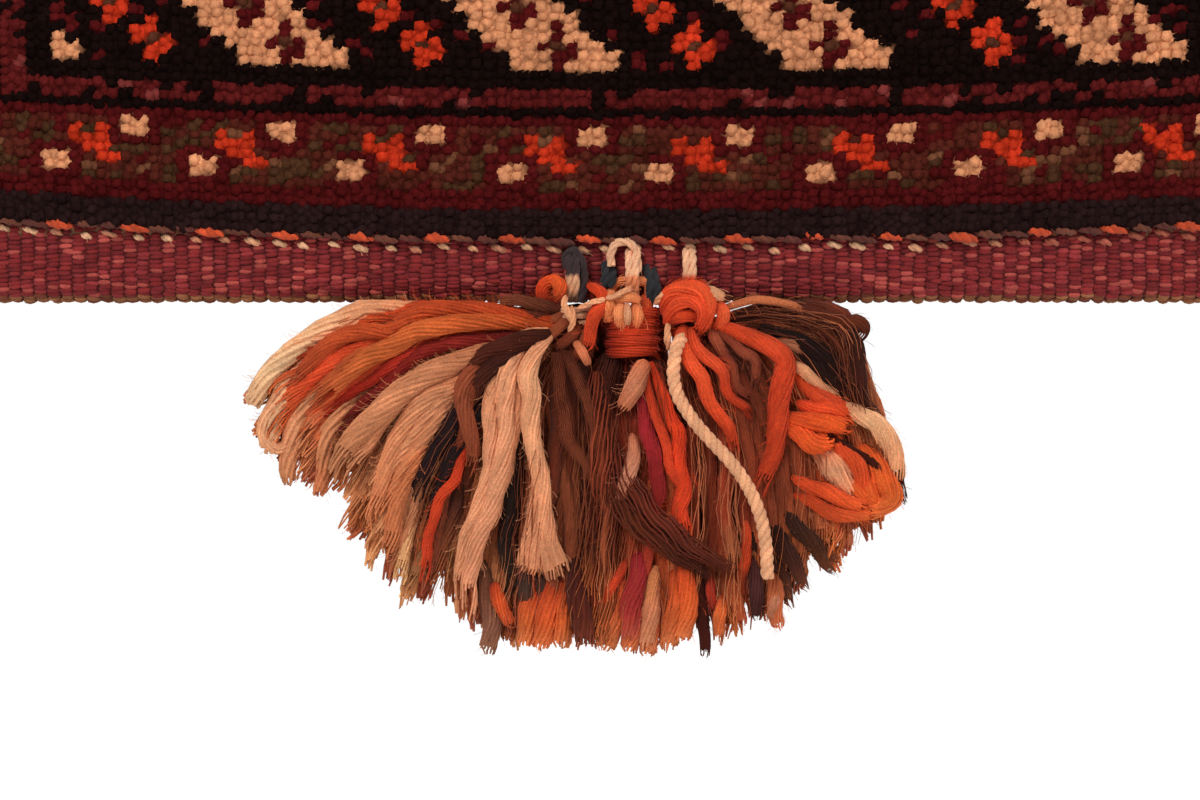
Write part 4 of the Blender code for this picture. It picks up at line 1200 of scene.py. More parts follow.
FILL_SHORTER = 0.42
UNEVEN_DYE = 0.15
ROOT_DRAWN, ROOT_SWELL = 0.55, 0.45
TIP_DRAWN, TIP_SWELL = 0.6, 0.4
BRIGHTEST_DYE = 0.95
HAIR_DEPTHS = (9, 17)
LOCK_SHIFTS = (-4, -2, 0, 2, 4)
LOCK_DEPTHS = (14, 16.5, 16, 14)
LOCK_GIRTHS = (5, 6, 5, 3)
LOCK_DYES = ("74402e", "905038", "7c4432")
LEFT_LOCKS = [[(556, 352), (562, 400), (572, 446), (600, 482), (609, 520), (606, 566)],
              [(566, 350), (584, 392), (597, 436), (603, 480), (592, 520)]]
FILL_WOBBLE = 6.0
LEFT_RAYS = [
    [(560, 328), (460, 320), (380, 328), (300, 356), (248, 404)],
    [(560, 330), (470, 334), (395, 350), (320, 392), (266, 450)],
    [(560, 332), (478, 345), (410, 370), (345, 420), (290, 487)],
    [(558, 335), (485, 358), (425, 392), (374, 440), (338, 503)],
    [(558, 338), (495, 365), (440, 410), (400, 470), (364, 566)],
    [(556, 340), (505, 370), (460, 425), (430, 500), (400, 612)],
    [(556, 342), (515, 375), (480, 440), (462, 520), (450, 612)],
    [(558, 343), (525, 380), (502, 450), (492, 540), (488, 655)],
    [(560, 345), (546, 385), (540, 450), (538, 540), (538, 655)],
    [(574, 342), (580, 388), (580, 460), (578, 550), (578, 648)],
]
# A skein: its slot, first and last ray, number of plain lengths, their depths in
# millimetres and dyes from root to tip, then the lengths that stand out in the photograph
# with pixels, depths, girths in pixels and dyes.
LEFT_SKEINS = {
    "left_orange_skein": ("orange_yarn", 0, 2, 7, (11, 14), [("a8341e", "c04a2c"), ("983020", "b85234")], [
        ([(562, 322), (512, 314), (435, 308), (385, 330), (345, 336), (325, 345), (300, 370), (285, 410)],
         (13, 16, 15, 13), (13, 16, 14, 12), ("aa4020", "ba542e", "b05232")),
        ([(558, 325), (505, 318), (450, 323), (415, 334), (380, 348), (350, 364), (318, 392), (301, 414)],
         (12, 15, 15, 13), (12, 16, 15, 12), ("a04224", "b85a30", "b6623c")),
        ([(520, 316), (470, 308), (422, 308), (382, 319), (350, 332), (322, 352)],
         (10, 13, 12), (9, 12, 10), ("a83c22", "c0502c", "c0582f")),
        ([(560, 328), (500, 321), (435, 327), (400, 340), (365, 360), (335, 385), (310, 412)],
         (13, 17, 16, 14), (14, 18, 17, 12), ("ac4822", "bc6234", "c06a3a", "b45e3a")),
        ([(556, 332), (480, 339), (435, 346), (400, 360), (370, 380), (315, 418)],
         (12, 15, 13), (11, 12, 10), ("9a2a1c", "b4382a", "98281c")),
        ([(490, 410), (468, 445), (455, 478), (440, 500), (428, 545), (420, 582)],
         (12, 16, 15), (8, 10, 8), ("a03020", "c84a2a", "b03c24")),
        ([(494, 584), (501, 604), (511, 628)], (13, 15, 13), (10, 13, 11), ("a03822", "cc5a2e", "c85c34")),
        ([(536, 572), (530, 606), (524, 646)],
         (10, 14, 12), (13, 19, 18), ("7c3424", "b84c2a", "d0703c", "dc9060")),
        ([(548, 570), (547, 610), (541, 649)],
         (10, 15, 12), (13, 20, 18), ("6c2c20", "b44a2a", "cc6234", "dc8c58")),
        ([(557, 572), (561, 610), (562, 645)],
         (10, 14, 12), (13, 19, 17), ("6c2c20", "b8502e", "d46c38", "dc9464")),
        ([(576, 556), (580, 604), (586, 645)],
         (13, 16, 14), (14, 21, 17), ("38160f", "48201a", "5a2a20", "8a4a38")),
    ]),
    "left_maroon_skein": ("maroon_yarn", 2, 3, 6, (10, 13), [("75221e", "a86a4a"), ("631e1a", "c08a66")], [
        ([(556, 334), (490, 339), (430, 348), (380, 390), (335, 440)],
         (13, 15, 12), (11, 14, 11), ("64191c", "842823", "611c1a")),
        ([(552, 338), (470, 352), (415, 382), (365, 425), (322, 470)],
         (12, 13, 11), (11, 14, 12), ("631a1a", "772420", "883a2d")),
    ]),
    "left_beige_skein": ("beige_yarn", 3, 5, 8, (10, 13), [("b97454", "cc9a76"), ("a96647", "d4a07a")], [
        ([(552, 337), (485, 352), (436, 370), (388, 400), (352, 440), (334, 480)],
         (13, 16.5, 17, 15), (11, 20, 22, 15), ("b97a58", "c8906c", "c48c66")),
        ([(545, 340), (500, 352), (460, 366), (400, 390), (370, 430), (345, 480)],
         (9, 13, 15, 13), (12, 21, 22, 16), ("c67c56", "cc9674", "cc946e")),
        ([(552, 338), (490, 362), (440, 400), (390, 462), (365, 500)],
         (12, 15, 13), (12, 19, 16), ("c27852", "c89270", "c89068")),
        ([(550, 340), (486, 376), (440, 412), (402, 468), (380, 522)],
         (12, 15, 13), (12, 18, 15), ("b9704c", "c08a68", "cf8459")),
        ([(555, 334), (510, 346), (470, 359), (425, 381), (385, 416), (350, 456), (338, 487)],
         (12, 15, 14), (10, 17, 14), ("c67c56", "c8926e", "c08864")),
        ([(548, 340), (500, 357), (462, 379), (422, 403), (396, 441), (379, 490), (373, 530)],
         (12, 16, 14), (10, 17, 13), ("c27852", "cc9672", "ca8057")),
        ([(500, 380), (455, 412), (418, 452), (396, 505), (388, 560)],
         (11, 14, 13), (10, 18, 15), ("a96647", "ca8259", "c27c54")),
    ]),
    "left_navy_skein": ("navy_yarn", 5, 6, 6, (10, 13), [("301c1c", "513027"), ("281616", "754430")], [
        ([(548, 340), (492, 372), (452, 420), (430, 462), (415, 505)],
         (12, 15, 13), (12, 17, 13), ("2e1c1e", "251a1e", "211416")),
        ([(545, 342), (502, 386), (464, 432), (442, 484), (430, 545)],
         (12, 14, 12), (12, 16, 12), ("281a1a", "21181c", "302020")),
    ]),
    "left_cream_outer_skein": ("cream_yarn", 6, 7, 4, (9, 12), [("98563c", "b0704a"), ("753c29", "98583c")], [
        ([(548, 330), (525, 338), (508, 364), (505, 400), (507, 440), (496, 480), (481, 530), (469, 583),
          (470, 624)], (14, 17, 17, 16, 14), (12, 18, 17, 17, 12), ("ce9876", "deaa86", "d8a07e", "ce9474")),
        ([(542, 334), (518, 346), (497, 376), (491, 412), (493, 446), (485, 486), (469, 535),
          (460, 580), (463, 614)],
         (13, 16, 16, 15, 13), (9, 14, 15, 15, 10), ("cc9672", "e0a884", "d49c78")),
        ([(520, 345), (514, 380), (517, 415), (512, 450), (500, 490), (488, 530)],
         (13, 16, 15, 14), (8, 12, 12, 9), ("c8906c", "dca480", "cc9470")),
    ]),
    "left_cream_inner_skein": ("cream_yarn", 7, 8, 4, (9, 12), [("753c29", "98563c"), ("633021", "884c34")], [
        ([(552, 332), (536, 350), (530, 375), (531, 400), (533, 440), (541, 490), (546, 545), (541, 582)],
         (14, 17, 17, 16, 14), (12, 18, 17, 16, 11), ("dca480", "ecb48e", "e4aa84", "d89e78")),
        ([(536, 460), (543, 505), (552, 542), (566, 577)],
         (14, 16, 14), (12, 18, 15), ("d49c78", "dca480", "cc9470")),
        ([(537, 470), (536, 512), (530, 546), (519, 577)],
         (14, 15, 13), (12, 17, 15), ("d09874", "dca480", "c8906c")),
        ([(538, 480), (540, 520), (536, 550), (530, 580)],
         (14, 15.5, 14), (12, 16, 14), ("d49c78", "dca480", "d09874")),
        ([(540, 480), (544, 520), (547, 552), (552, 582)],
         (14, 15.5, 14), (12, 16, 14), ("d49c78", "e0a884", "d09874")),
    ]),
    "left_umber_skein": ("brown_hair", 8, 9, 12, (9, 14), [("3c1a12", "5c2c1e"), ("5a281a", "74402a")], [
        ([(582, 360), (590, 420), (590, 480), (584, 520)],
         (12, 13, 12), (12, 15, 12), ("2c140f", "38180f", "2c140f")),
        ([(530, 342), (492, 352), (468, 376), (466, 420), (474, 450), (470, 478)],
         (14, 17, 15), (10, 16, 10), ("7a3c28", "905038", "84452e")),
        ([(528, 346), (486, 362), (472, 392), (462, 432), (452, 462)],
         (13, 16, 14), (9, 13, 8), ("6e3424", "84442e", "6e3626")),
        ([(530, 380), (518, 440), (511, 500), (509, 560), (514, 602)],
         (11, 13, 12), (12, 17, 13), ("281a16", "211814", "302420")),
        ([(482, 560), (489, 610), (491, 658)],
         (11, 13, 11), (12, 18, 15), ("513227", "6e4838", "8a6250", "a07860")),
        ([(500, 590), (506, 618), (507, 643)], (9, 11, 10), (11, 15, 12), ("3a2018", "4a261c", "a85c38")),
        ([(550, 332), (512, 342), (480, 357), (454, 380)], (15, 17.5, 17, 14), (11, 17, 15, 9),
         ("38180f", "4a2218", "5a2e20")),
        ([(546, 336), (506, 352), (482, 376), (476, 404)], (14, 17.5, 17, 14), (11, 16, 14, 10),
         ("301610", "40201a", "50281c")),
        ([(519, 566), (526, 590), (538, 612)], (13, 15, 11), (9, 14, 10), ("2c2220", "44342e", "7c4a34")),
        ([(538, 570), (541, 590), (550, 608)], (12, 14, 10), (8, 12, 8), ("34241e", "4a3630", "84482f")),
        # A near-black strand near the bag: partly brown hair, partly painted shadow in the gap beside the
        # centre tassel.
        ([(594, 344), (592, 400), (588, 470), (586, 560)], (4, 6, 9, 11), (16, 18, 18, 16),
         ("38180f", "48201a", "3c1a12")),
    ]),
    "left_tan_back_skein": ("tan_yarn", 0, 4, 24, (3, 10), [("b06c49", "dca882"), ("98563c", "c89068"),
                                                          ("7a3424", "c2603a")], [
        ([(545, 318), (470, 314), (380, 308), (335, 334), (295, 346), (268, 372), (247, 402)],
         (11, 12, 13, 12), (9, 12, 13, 11), ("c07e58", "deaa84", "f0c09a")),
        ([(420, 306), (362, 309), (322, 331), (286, 356), (262, 386), (251, 406)],
         (11, 12, 13, 12), (10, 16, 17, 12), ("c8865e", "ecb892", "fac8a2", "f0bc96")),
        ([(400, 322), (342, 342), (306, 367), (281, 402), (269, 440), (266, 454)],
         (8, 12, 12, 11), (10, 17, 18, 12), ("c07e56", "e0aa84", "f0bc96", "e4aa84")),
        ([(380, 342), (335, 372), (305, 412), (291, 452), (289, 486)], (8, 11, 12, 10), (10, 16, 17, 11),
         ("b06c49", "d09872", "d8a07a", "c08660")),
        ([(392, 362), (352, 402), (327, 442), (319, 499)], (8, 11, 12, 10), (10, 16, 16, 11),
         ("a96645", "c08a66", "c8906a", "c27854")),
        ([(302, 396), (290, 430), (284, 464)], (5, 6, 6), (12, 16, 12), ("b87a54", "c88a64", "b87a54")),
        ([(330, 345), (296, 374), (274, 402), (264, 430), (276, 452), (296, 440)],
         (9, 13, 13, 12), (7, 10, 10, 7), ("c89070", "e8b48e", "e0aa84")),
    ]),
    "left_dark_back_skein": ("brown_hair", 3, 9, 32, (3, 10), [("32180f", "6a3a28"), ("3c1c14", "7a4630"),
                                                             ("2a1612", "4c2c20"), ("4a1e16", "8a3c28")], []),
}
# The head: an eye through the loop, a coil of orange wool beside it and strands of brown hair over it.
# The dark strands along the hem, behind the wrap of the middle tassel and behind the head are partly
# brown hair, partly painted shadow in the gaps between the tassels.
LEFT_HEAD = [
    ([(556, 338), (550, 312), (554, 293), (562, 283), (573, 281), (584, 283), (592, 293),
      (597, 312), (590, 338)],
     (9.4, 9.8, 9.8, 9.8, 9.4), (9, 9, 9, 9), ("5a2018", "8a3020", "75281e")),
    ([(566, 306), (554, 303), (545, 295), (546, 284), (556, 280), (562, 286), (559, 296), (550, 303)],
     (11, 12, 12, 12, 14, 13), (10, 13, 14, 15, 11), ("7a2a1c", "d04a28", "e86a34", "8a3020")),
    ([(588, 285), (598, 292), (600, 306), (594, 322), (586, 348)],
     (12, 14, 16, 14), (10, 13, 14, 12), ("c44424", "d4522e", "bc4224")),
    ([(575, 342), (583, 350), (590, 362)], (14, 16, 14), (8, 10, 7), ("c27856", "ca805d")),
    ([(578, 318), (556, 325), (538, 340)], (11, 15, 13), (9, 12, 10), ("632c1e", "915036", "86442d")),
    ([(584, 320), (572, 334), (556, 350)], (11, 15, 13), (9, 12, 10), ("512418", "793c27", "632c1e")),
    ([(590, 322), (584, 338), (578, 360)], (11, 14, 12), (9, 12, 11), ("632c1e", "86442d", "753623")),
    ([(594, 322), (592, 340), (588, 362), (584, 392)],
     (8, 9, 9, 8), (10, 13, 13, 11), ("512418", "753623", "632c1e")),
    ([(566, 312), (540, 304), (516, 300), (492, 304)],
     (12, 15, 15, 13), (9, 13, 12, 8), ("5a2c20", "6e3c2a", "7a4430")),
    ([(560, 318), (536, 312), (510, 311)], (11, 14, 13), (10, 13, 9), ("4a241a", "5e3024", "6a3626")),
    # Partly brown hair, partly painted shadow: a dark strand filling the gap behind the middle tassel's wrap.
    ([(594, 304), (602, 320), (603, 342), (597, 364)],
     (2, 1.8, 1.8, 3), (10, 16, 16, 12), ("4a241a", "5a2c20", "4a241a")),
    # Partly brown hair, partly painted shadow along the hem.
    ([(556, 311), (580, 310), (600, 312)], (3, 3, 3), (8, 10, 8), ("38180f", "48201a", "38180f")),
    ([(568, 314), (552, 318), (534, 328)], (12, 14, 12), (8, 11, 9), ("753623", "98563c", "86442d")),
    ([(550, 314), (562, 322), (588, 324), (598, 315)],
     (9, 8, 8, 9), (13, 16, 16, 13), ("963020", "aa3c24", "963020")),
    # A thick dark strand behind the head: partly hair, partly painted shadow.
    ([(575, 314), (575, 330), (570, 358)], (9, 9, 10), (26, 40, 38), ("63241a", "6a2a1e", "512016")),
]
LEFT_TIE_ENDS = [
    ([(578, 309), (587, 306), (595, 302), (603, 299)], (15, 17, 17), (5, 6, 6), ("d8a682", "e0b08c")),
    ([(566, 296), (564, 310), (571, 326)], (15, 17, 16), (6, 8, 6), ("d09c78", "dcaa84")),
    ([(572, 306), (570, 320), (566, 332)], (15, 17, 15), (5, 7, 5), ("d09c78", "d8a680")),
]
TIE_TOP = -0.3119
TIE_LAY = 0.0016
TIE_TURNS = 2.2
TIE_STEPS = 16
TIE_RADIUS = 0.0042
TIE_WIDTH = 0.0014
TIE_DYE = "d8a682"
PIVOT_Y = -0.0098


def along(values, share):
    """The value at a share of the way through a list."""
    place = share * (len(values) - 1)
    k = min(int(place), len(values) - 2)
    return values[k] + (values[k + 1] - values[k]) * (place - k)


def tinted(colours, share, light=1.0):
    """The dye at a share of the way through a list; lighter and warmer, as loose fibres shade each other."""
    channels = [[dyed(colour)[k] for colour in colours] for k in range(3)]
    return tuple(min(BRIGHTEST_DYE, max(0.0, along(channel, share) * light * own))
                 for channel, own in zip(channels, YARN_LIGHT)) + (1.0,)


def length_of_yarn(route, depths, girths, colours, light=1.0):
    """A yarn along pixels of the photograph, its ends drawn thinner."""
    last = len(route) - 1
    spots = [seen(px, py, -along(depths, k / last) / 1000) for k, (px, py) in enumerate(route)]
    line = smooth(spots, YARN_STEPS)
    girth, dyes = [], []
    for k, spot in enumerate(line):
        share = k / (len(line) - 1)
        line[k] = spot + noise.noise_vector(spot * WAVE_SCALE) * WAVE * min(1.0, 3 * share)
        drawn = min(1.0, ROOT_DRAWN + ROOT_SWELL * share / ROOT_TAPER,
                    TIP_DRAWN + TIP_SWELL * (1 - share) / TIP_TAPER)
        girth.append(along(girths, share) * PIXEL * drawn)
        dyes.append(tinted(colours, share, light))
    return line, girth, dyes


def plain_lengths(rays, first, last, count, depths, palettes, draw):
    """Plain lengths between two rays of the fan."""
    lengths = []
    for number in range(count):
        place = first + (last - first) * (number + draw.random()) / count
        k = min(int(place), len(rays) - 2)
        route = []
        for (ax, ay), (bx, by) in zip(rays[k], rays[k + 1]):
            stray = FILL_WOBBLE if route else 1.0
            route.append((ax + (bx - ax) * (place - k) + draw.gauss(0, stray),
                          ay + (by - ay) * (place - k) - abs(draw.gauss(0, stray))))
        (px, py), (qx, qy) = route[-2:]
        reach = FILL_REACH - FILL_SHORTER * draw.random() ** 2
        route[-1] = (px + (qx - px) * reach, py + (qy - py) * reach)
        deep = [draw.uniform(*depths) for _ in range(3)]
        thick = [draw.uniform(*FILL_GIRTH) for _ in range(3)]
        root, tip = draw.choice(palettes)
        dyes = (root, root, tip, tip, draw.choice(WASHED_TIPS))
        lengths.append(length_of_yarn(route, [FILL_ROOT_DEPTH] + deep, [FILL_ROOT_GIRTH] + thick, dyes,
                                      draw.gauss(1.0, UNEVEN_DYE)))
    return lengths


def hair_over(body, rays, count, palettes, seed, locks=()):
    """Loose goat hair spun in with the wool, standing a little off the lengths, and its wavy locks."""
    draw = random.Random(seed)
    strands = plain_lengths(rays, 0, len(rays) - 1, count, HAIR_DEPTHS, palettes, draw)
    for route in locks:
        for shift in LOCK_SHIFTS:
            strands.append(length_of_yarn([(px + shift, py) for px, py in route], LOCK_DEPTHS, LOCK_GIRTHS,
                                          LOCK_DYES))
    piece = grown(yarn_guide(body + "_goat_hair", strands), spinning, {"Material": tassel_wool, **STRAY_HAIR})
    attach(piece, body)


def make_skeins(body, skeins, rays, settings, seed):
    """The yarns of every skein of one tassel."""
    draw = random.Random(seed)
    for node, (slot, first, last, count, depths, palettes, shown) in skeins.items():
        lengths = plain_lengths(rays, first, last, count, depths, palettes, draw)
        lengths += [length_of_yarn(route, deep, [girth * FULLNESS for girth in girths], dyes)
                    for route, deep, girths, dyes in shown]
        laid = UNDER if "back" in node else settings
        piece = grown(yarn_guide(node + "_yarns", lengths), spinning, {"Material": tassel_wool, **laid})
        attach(piece, body)
        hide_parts(node)


def tied(side, ends):
    """The thread round the neck of a side tassel, and its loose ends."""
    steps = TIE_STEPS * round(TIE_TURNS)
    line = []
    for k in range(steps + 1):
        angle = 2 * math.pi * TIE_TURNS * k / steps
        line.append(Vector((TASSEL_X[side] + TIE_RADIUS * math.cos(angle),
                            PIVOT_Y - TIE_RADIUS * math.sin(angle),
                            TIE_TOP - TIE_LAY * TIE_TURNS * k / steps)))
    threads = [(line, [TIE_WIDTH] * len(line), [dyed(TIE_DYE)] * len(line))]
    threads += [length_of_yarn(*end) for end in ends]
    piece = grown(yarn_guide(side + "_tie_thread", threads), spinning, {"Material": tassel_wool, **TIGHT})
    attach(piece, "tassel_" + side)
    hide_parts(side + "_tie")


def headed(side, lengths):
    """The folded yarns of a tassel's head."""
    piece = grown(yarn_guide(side + "_head_yarns", [length_of_yarn(*yarn) for yarn in lengths]), spinning,
                  {"Material": tassel_wool, **LOOSE})
    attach(piece, "tassel_" + side)
    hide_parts(side + "_tassel_head")


tassel_wool = wool("loosely spun tassel wool", fibre=0.0005, sheen=0.04, gloss=0.06, darkest=0.80)
noise.seed_set(WAVE_SEED)
make_skeins("tassel_left", LEFT_SKEINS, LEFT_RAYS, LOOSE, 31)
headed("left", LEFT_HEAD)
tied("left", LEFT_TIE_ENDS)
hair_over("tassel_left", LEFT_RAYS, 26, [("633423", "864e34"), ("86583f", "b97e5b"), ("512a1e", "75402d")],
          41, LEFT_LOCKS)

# Centre tassel
# A bunch of brown goat hair with ruby and orange wool in it, bound below its eye with
# five turns of thick orange yarn.

CENTRE_RAYS = [
    [(609, 354), (597, 378), (591, 450), (590, 550), (590, 650)],
    [(622, 362), (613, 405), (608, 480), (605, 560), (604, 652)],
    [(640, 362), (644, 405), (648, 480), (648, 560), (648, 655)],
    [(652, 358), (664, 385), (676, 460), (682, 560), (685, 650)],
]
CENTRE_HAIR = {
    "centre_brown_skein": ("brown_hair", 0, 1, 12, (11, 16), [("4a2016", "6e3626"), ("3a1812", "5c2a1e")], [
        ([(604, 428), (624, 478), (656, 520), (694, 550), (740, 574)], (12, 18, 18, 17), (14, 20, 18, 6),
         ("5a281c", "6c3224", "5c2c20")),
        ([(600, 460), (624, 510), (664, 546), (714, 580)],
         (12, 17, 17, 15), (14, 20, 16, 6), ("4c2218", "60301f", "50261a")),
        ([(596, 372), (600, 430), (606, 490), (604, 550)],
         (13, 16, 14), (16, 20, 14), ("753421", "88422d", "6e3020")),
    ]),
    "centre_back_skein": ("brown_hair", 0, 3, 26, (3, 10), [("321510", "5e2c20"), ("421c14", "904428"),
                                                           ("4a2018", "a05c3a")], [
        # A near-black strand near the bag: partly brown hair, partly painted shadow in the gap beside the
        # left tassel.
        ([(600, 338), (598, 366), (596, 410), (594, 460)],
         (4, 4, 5, 6), (14, 18, 18, 16), ("38180f", "48201a", "38180f")),
    ]),
}
CENTRE_SKEINS = {
    "centre_ruby_skein": ("maroon_yarn", 1, 2, 5, (10, 13), [("632c1e", "984a30"), ("862a23", "b05036")], [
        ([(634, 364), (643, 411), (647, 440), (655, 463), (658, 492), (655, 505), (650, 545), (643, 615)],
         (13, 16, 17, 16, 13), (9, 14, 14, 11, 10), ("80242a", "9a2a32", "882428", "943028", "b04834")),
        ([(646, 362), (636, 386), (622, 408)], (15, 17, 15), (14, 18, 12), ("ca7c59", "c48a6c", "c27654")),
        ([(640, 552), (634, 600), (630, 645)],
         (14, 16, 14), (13, 19, 15), ("8a2430", "9a3034", "a83c38", "c8705a")),
        ([(609, 470), (606, 505), (604, 545), (604, 582)],
         (14, 17, 15), (5, 7, 5), ("985034", "ac603f", "985034")),
        ([(632, 434), (633, 458), (626, 486), (617, 508)],
         (14, 17, 16), (8, 14, 9), ("ca7e5d", "cc947a", "c27859")),
    ]),
    "centre_orange_skein": ("orange_yarn", 2, 3, 5, (10, 13), [("8a3426", "c46a44"), ("753020", "ca5a36")], [
        ([(645, 364), (650, 400), (656, 417), (661, 438), (668, 455), (677, 480), (680, 498), (688, 540)],
         (14, 17, 17, 15), (8, 9, 9, 8), ("c04428", "cc4a2c", "c24628")),
        ([(650, 362), (664, 398), (672, 421), (679, 438), (681, 475), (680, 494), (677, 509),
          (684, 526), (688, 544)],
         (13, 16, 16, 14), (10, 14, 15, 12), ("bc4024", "d64a28", "d44a2a", "cc4a2a")),
        ([(684, 558), (686, 600), (681, 645)],
         (13, 15, 13), (13, 19, 17), ("b84424", "d05a2c", "d06a38", "dc9464")),
        ([(674, 566), (673, 606), (668, 650)],
         (12, 14, 12), (13, 19, 17), ("a84026", "c85a2e", "cc6c3c", "dc9868")),
        ([(654, 572), (650, 610), (648, 648)],
         (13, 15.5, 13), (13, 19, 16), ("a86a50", "b87a5c", "c88a68", "d89c78")),
        ([(627, 560), (610, 588), (600, 612)], (14, 16, 14), (8, 11, 8), ("a43a26", "ba4428", "a83c26")),
        ([(604, 572), (618, 580), (620, 604), (608, 620)], (13, 15, 14), (7, 9, 8), ("b04a2c", "c25c38")),
        ([(656, 566), (651, 602), (645, 632)], (14, 16, 14), (9, 12, 9), ("b97a52", "ca8a5f", "b9744a")),
        ([(618, 586), (614, 622), (608, 650)],
         (12, 14, 12), (12, 18, 16), ("7a3424", "b85a38", "cc7a4c", "dc9c70")),
        ([(636, 590), (634, 622), (629, 652)], (12, 14, 12), (12, 18, 16), ("883823", "ca6038", "d08a5e")),
        ([(596, 530), (594, 590), (597, 648)], (12, 14, 12), (12, 17, 14), ("4a201a", "5c261c", "78382a")),
        ([(652, 600), (652, 628), (650, 654)], (11, 13, 12), (12, 17, 15), ("98482d", "ca6a43", "cc8c66")),
    ]),
}
# The neck shows salmon wool round a cream length; the cream thread from the left ends on it.
CENTRE_HEAD = [
    ([(616, 330), (611, 305), (612, 290), (620, 282), (632, 281), (644, 283), (650, 292),
      (649, 310), (645, 330)],
     (9.6, 9.8, 9.8, 9.8, 9.6), (10, 10, 10, 10), ("dc7848", "f0986a", "dc7848")),
    ([(610, 292), (607, 305), (611, 324)], (12, 15, 13), (12, 15, 12), ("ec8c5c", "f49a66", "dc7850")),
    ([(621, 305), (620, 313), (621, 326)], (13, 16, 14), (12, 15, 12), ("f0a074", "f89c6a", "dc7c52")),
    ([(636, 305), (635, 313), (634, 326)], (13, 16, 14), (12, 15, 12), ("ec8c5c", "f09262", "d8704a")),
    ([(646, 296), (647, 310), (645, 326)], (10, 13, 11), (11, 14, 11), ("b84a2a", "c85c38", "a84428")),
    ([(627, 304), (627, 312), (626, 324)], (15, 18, 15), (6, 8, 6), ("dca882", "e0b08c", "d09c78")),
    ([(615, 301), (628, 296), (641, 300)], (14, 15.5, 14), (9, 13, 9), ("f09c70", "f89c6a", "e48c60")),
    # A thick dark strand behind the wrap: partly hair, partly painted shadow in the gaps of the neck.
    ([(632, 312), (634, 335), (632, 366)], (9, 9, 9), (24, 34, 26), ("8a3022", "7a2a1e", "63241a")),
]
CROSSING_THREAD = ([(606, 298), (620, 293), (636, 288)], (16.5, 17.6, 16.5), (6, 6, 5), ("e0b08c", "d8a682"))
WRAP_TOP = -0.3128
WRAP_LAY = 0.0021
WRAP_TURNS = 5
WRAP_RADIUS = 0.0052
WRAP_GIRTH = 0.0026
WRAP_STEPS = 20
WRAP_BULGE = 0.0002
WRAP_STRAY = 0.00005
WRAP_SWELL = 0.06
# The wrap's red on its lit side, and the darker red painted as shade on the left of each turn.
WRAP_LIT_RED = "b84024"
WRAP_PAINTED_SHADE_RED = "8a2416"


def wound(side_draw):
    """Thick yarn wound down the neck, each turn darker red on its left side as painted shade."""
    steps = WRAP_TURNS * WRAP_STEPS
    line, girth, dyes = [], [], []
    for k in range(steps + 1):
        angle = 2 * math.pi * k / WRAP_STEPS
        turn = k // WRAP_STEPS
        radius = WRAP_RADIUS + WRAP_BULGE * math.sin(2.3 * turn + 1) + side_draw.gauss(0, WRAP_STRAY)
        line.append(Vector((TASSEL_X["centre"] + radius * math.cos(angle),
                            PIVOT_Y - radius * math.sin(angle),
                            WRAP_TOP - WRAP_LAY * k / WRAP_STEPS)))
        girth.append(WRAP_GIRTH * (1 + WRAP_SWELL * math.sin(1.7 * turn)))
        # Painted shade: each turn darkens towards its left side.
        dyes.append(tinted((WRAP_LIT_RED, WRAP_PAINTED_SHADE_RED), ease(-math.cos(angle) * 0.9)))
    return line, girth, dyes


make_skeins("tassel_centre", CENTRE_HAIR, CENTRE_RAYS, HAIRY, 32)
make_skeins("tassel_centre", CENTRE_SKEINS, CENTRE_RAYS, LOOSE, 33)
headed("centre", CENTRE_HEAD + [CROSSING_THREAD])
wrap = grown(yarn_guide("wound_wrap", [wound(random.Random(8))]), spinning,
             {"Material": tassel_wool, **LOOSE, "Plies": 11, "Ply Share": 0.24, "Lay Share": 0.84,
              "Core Share": 0.86, "Fray": 0.0})
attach(wrap, "tassel_centre")
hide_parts("centre_wrap")
hair_over("tassel_centre", CENTRE_RAYS, 16, [("753825", "985034"), ("864630", "a96443")], 42)

# Right tassel
# Like the left one: orange, umber and tan lengths that arch out to the right, some of
# them still uncut loops, tied with a cream thread and holding the cotton cord.

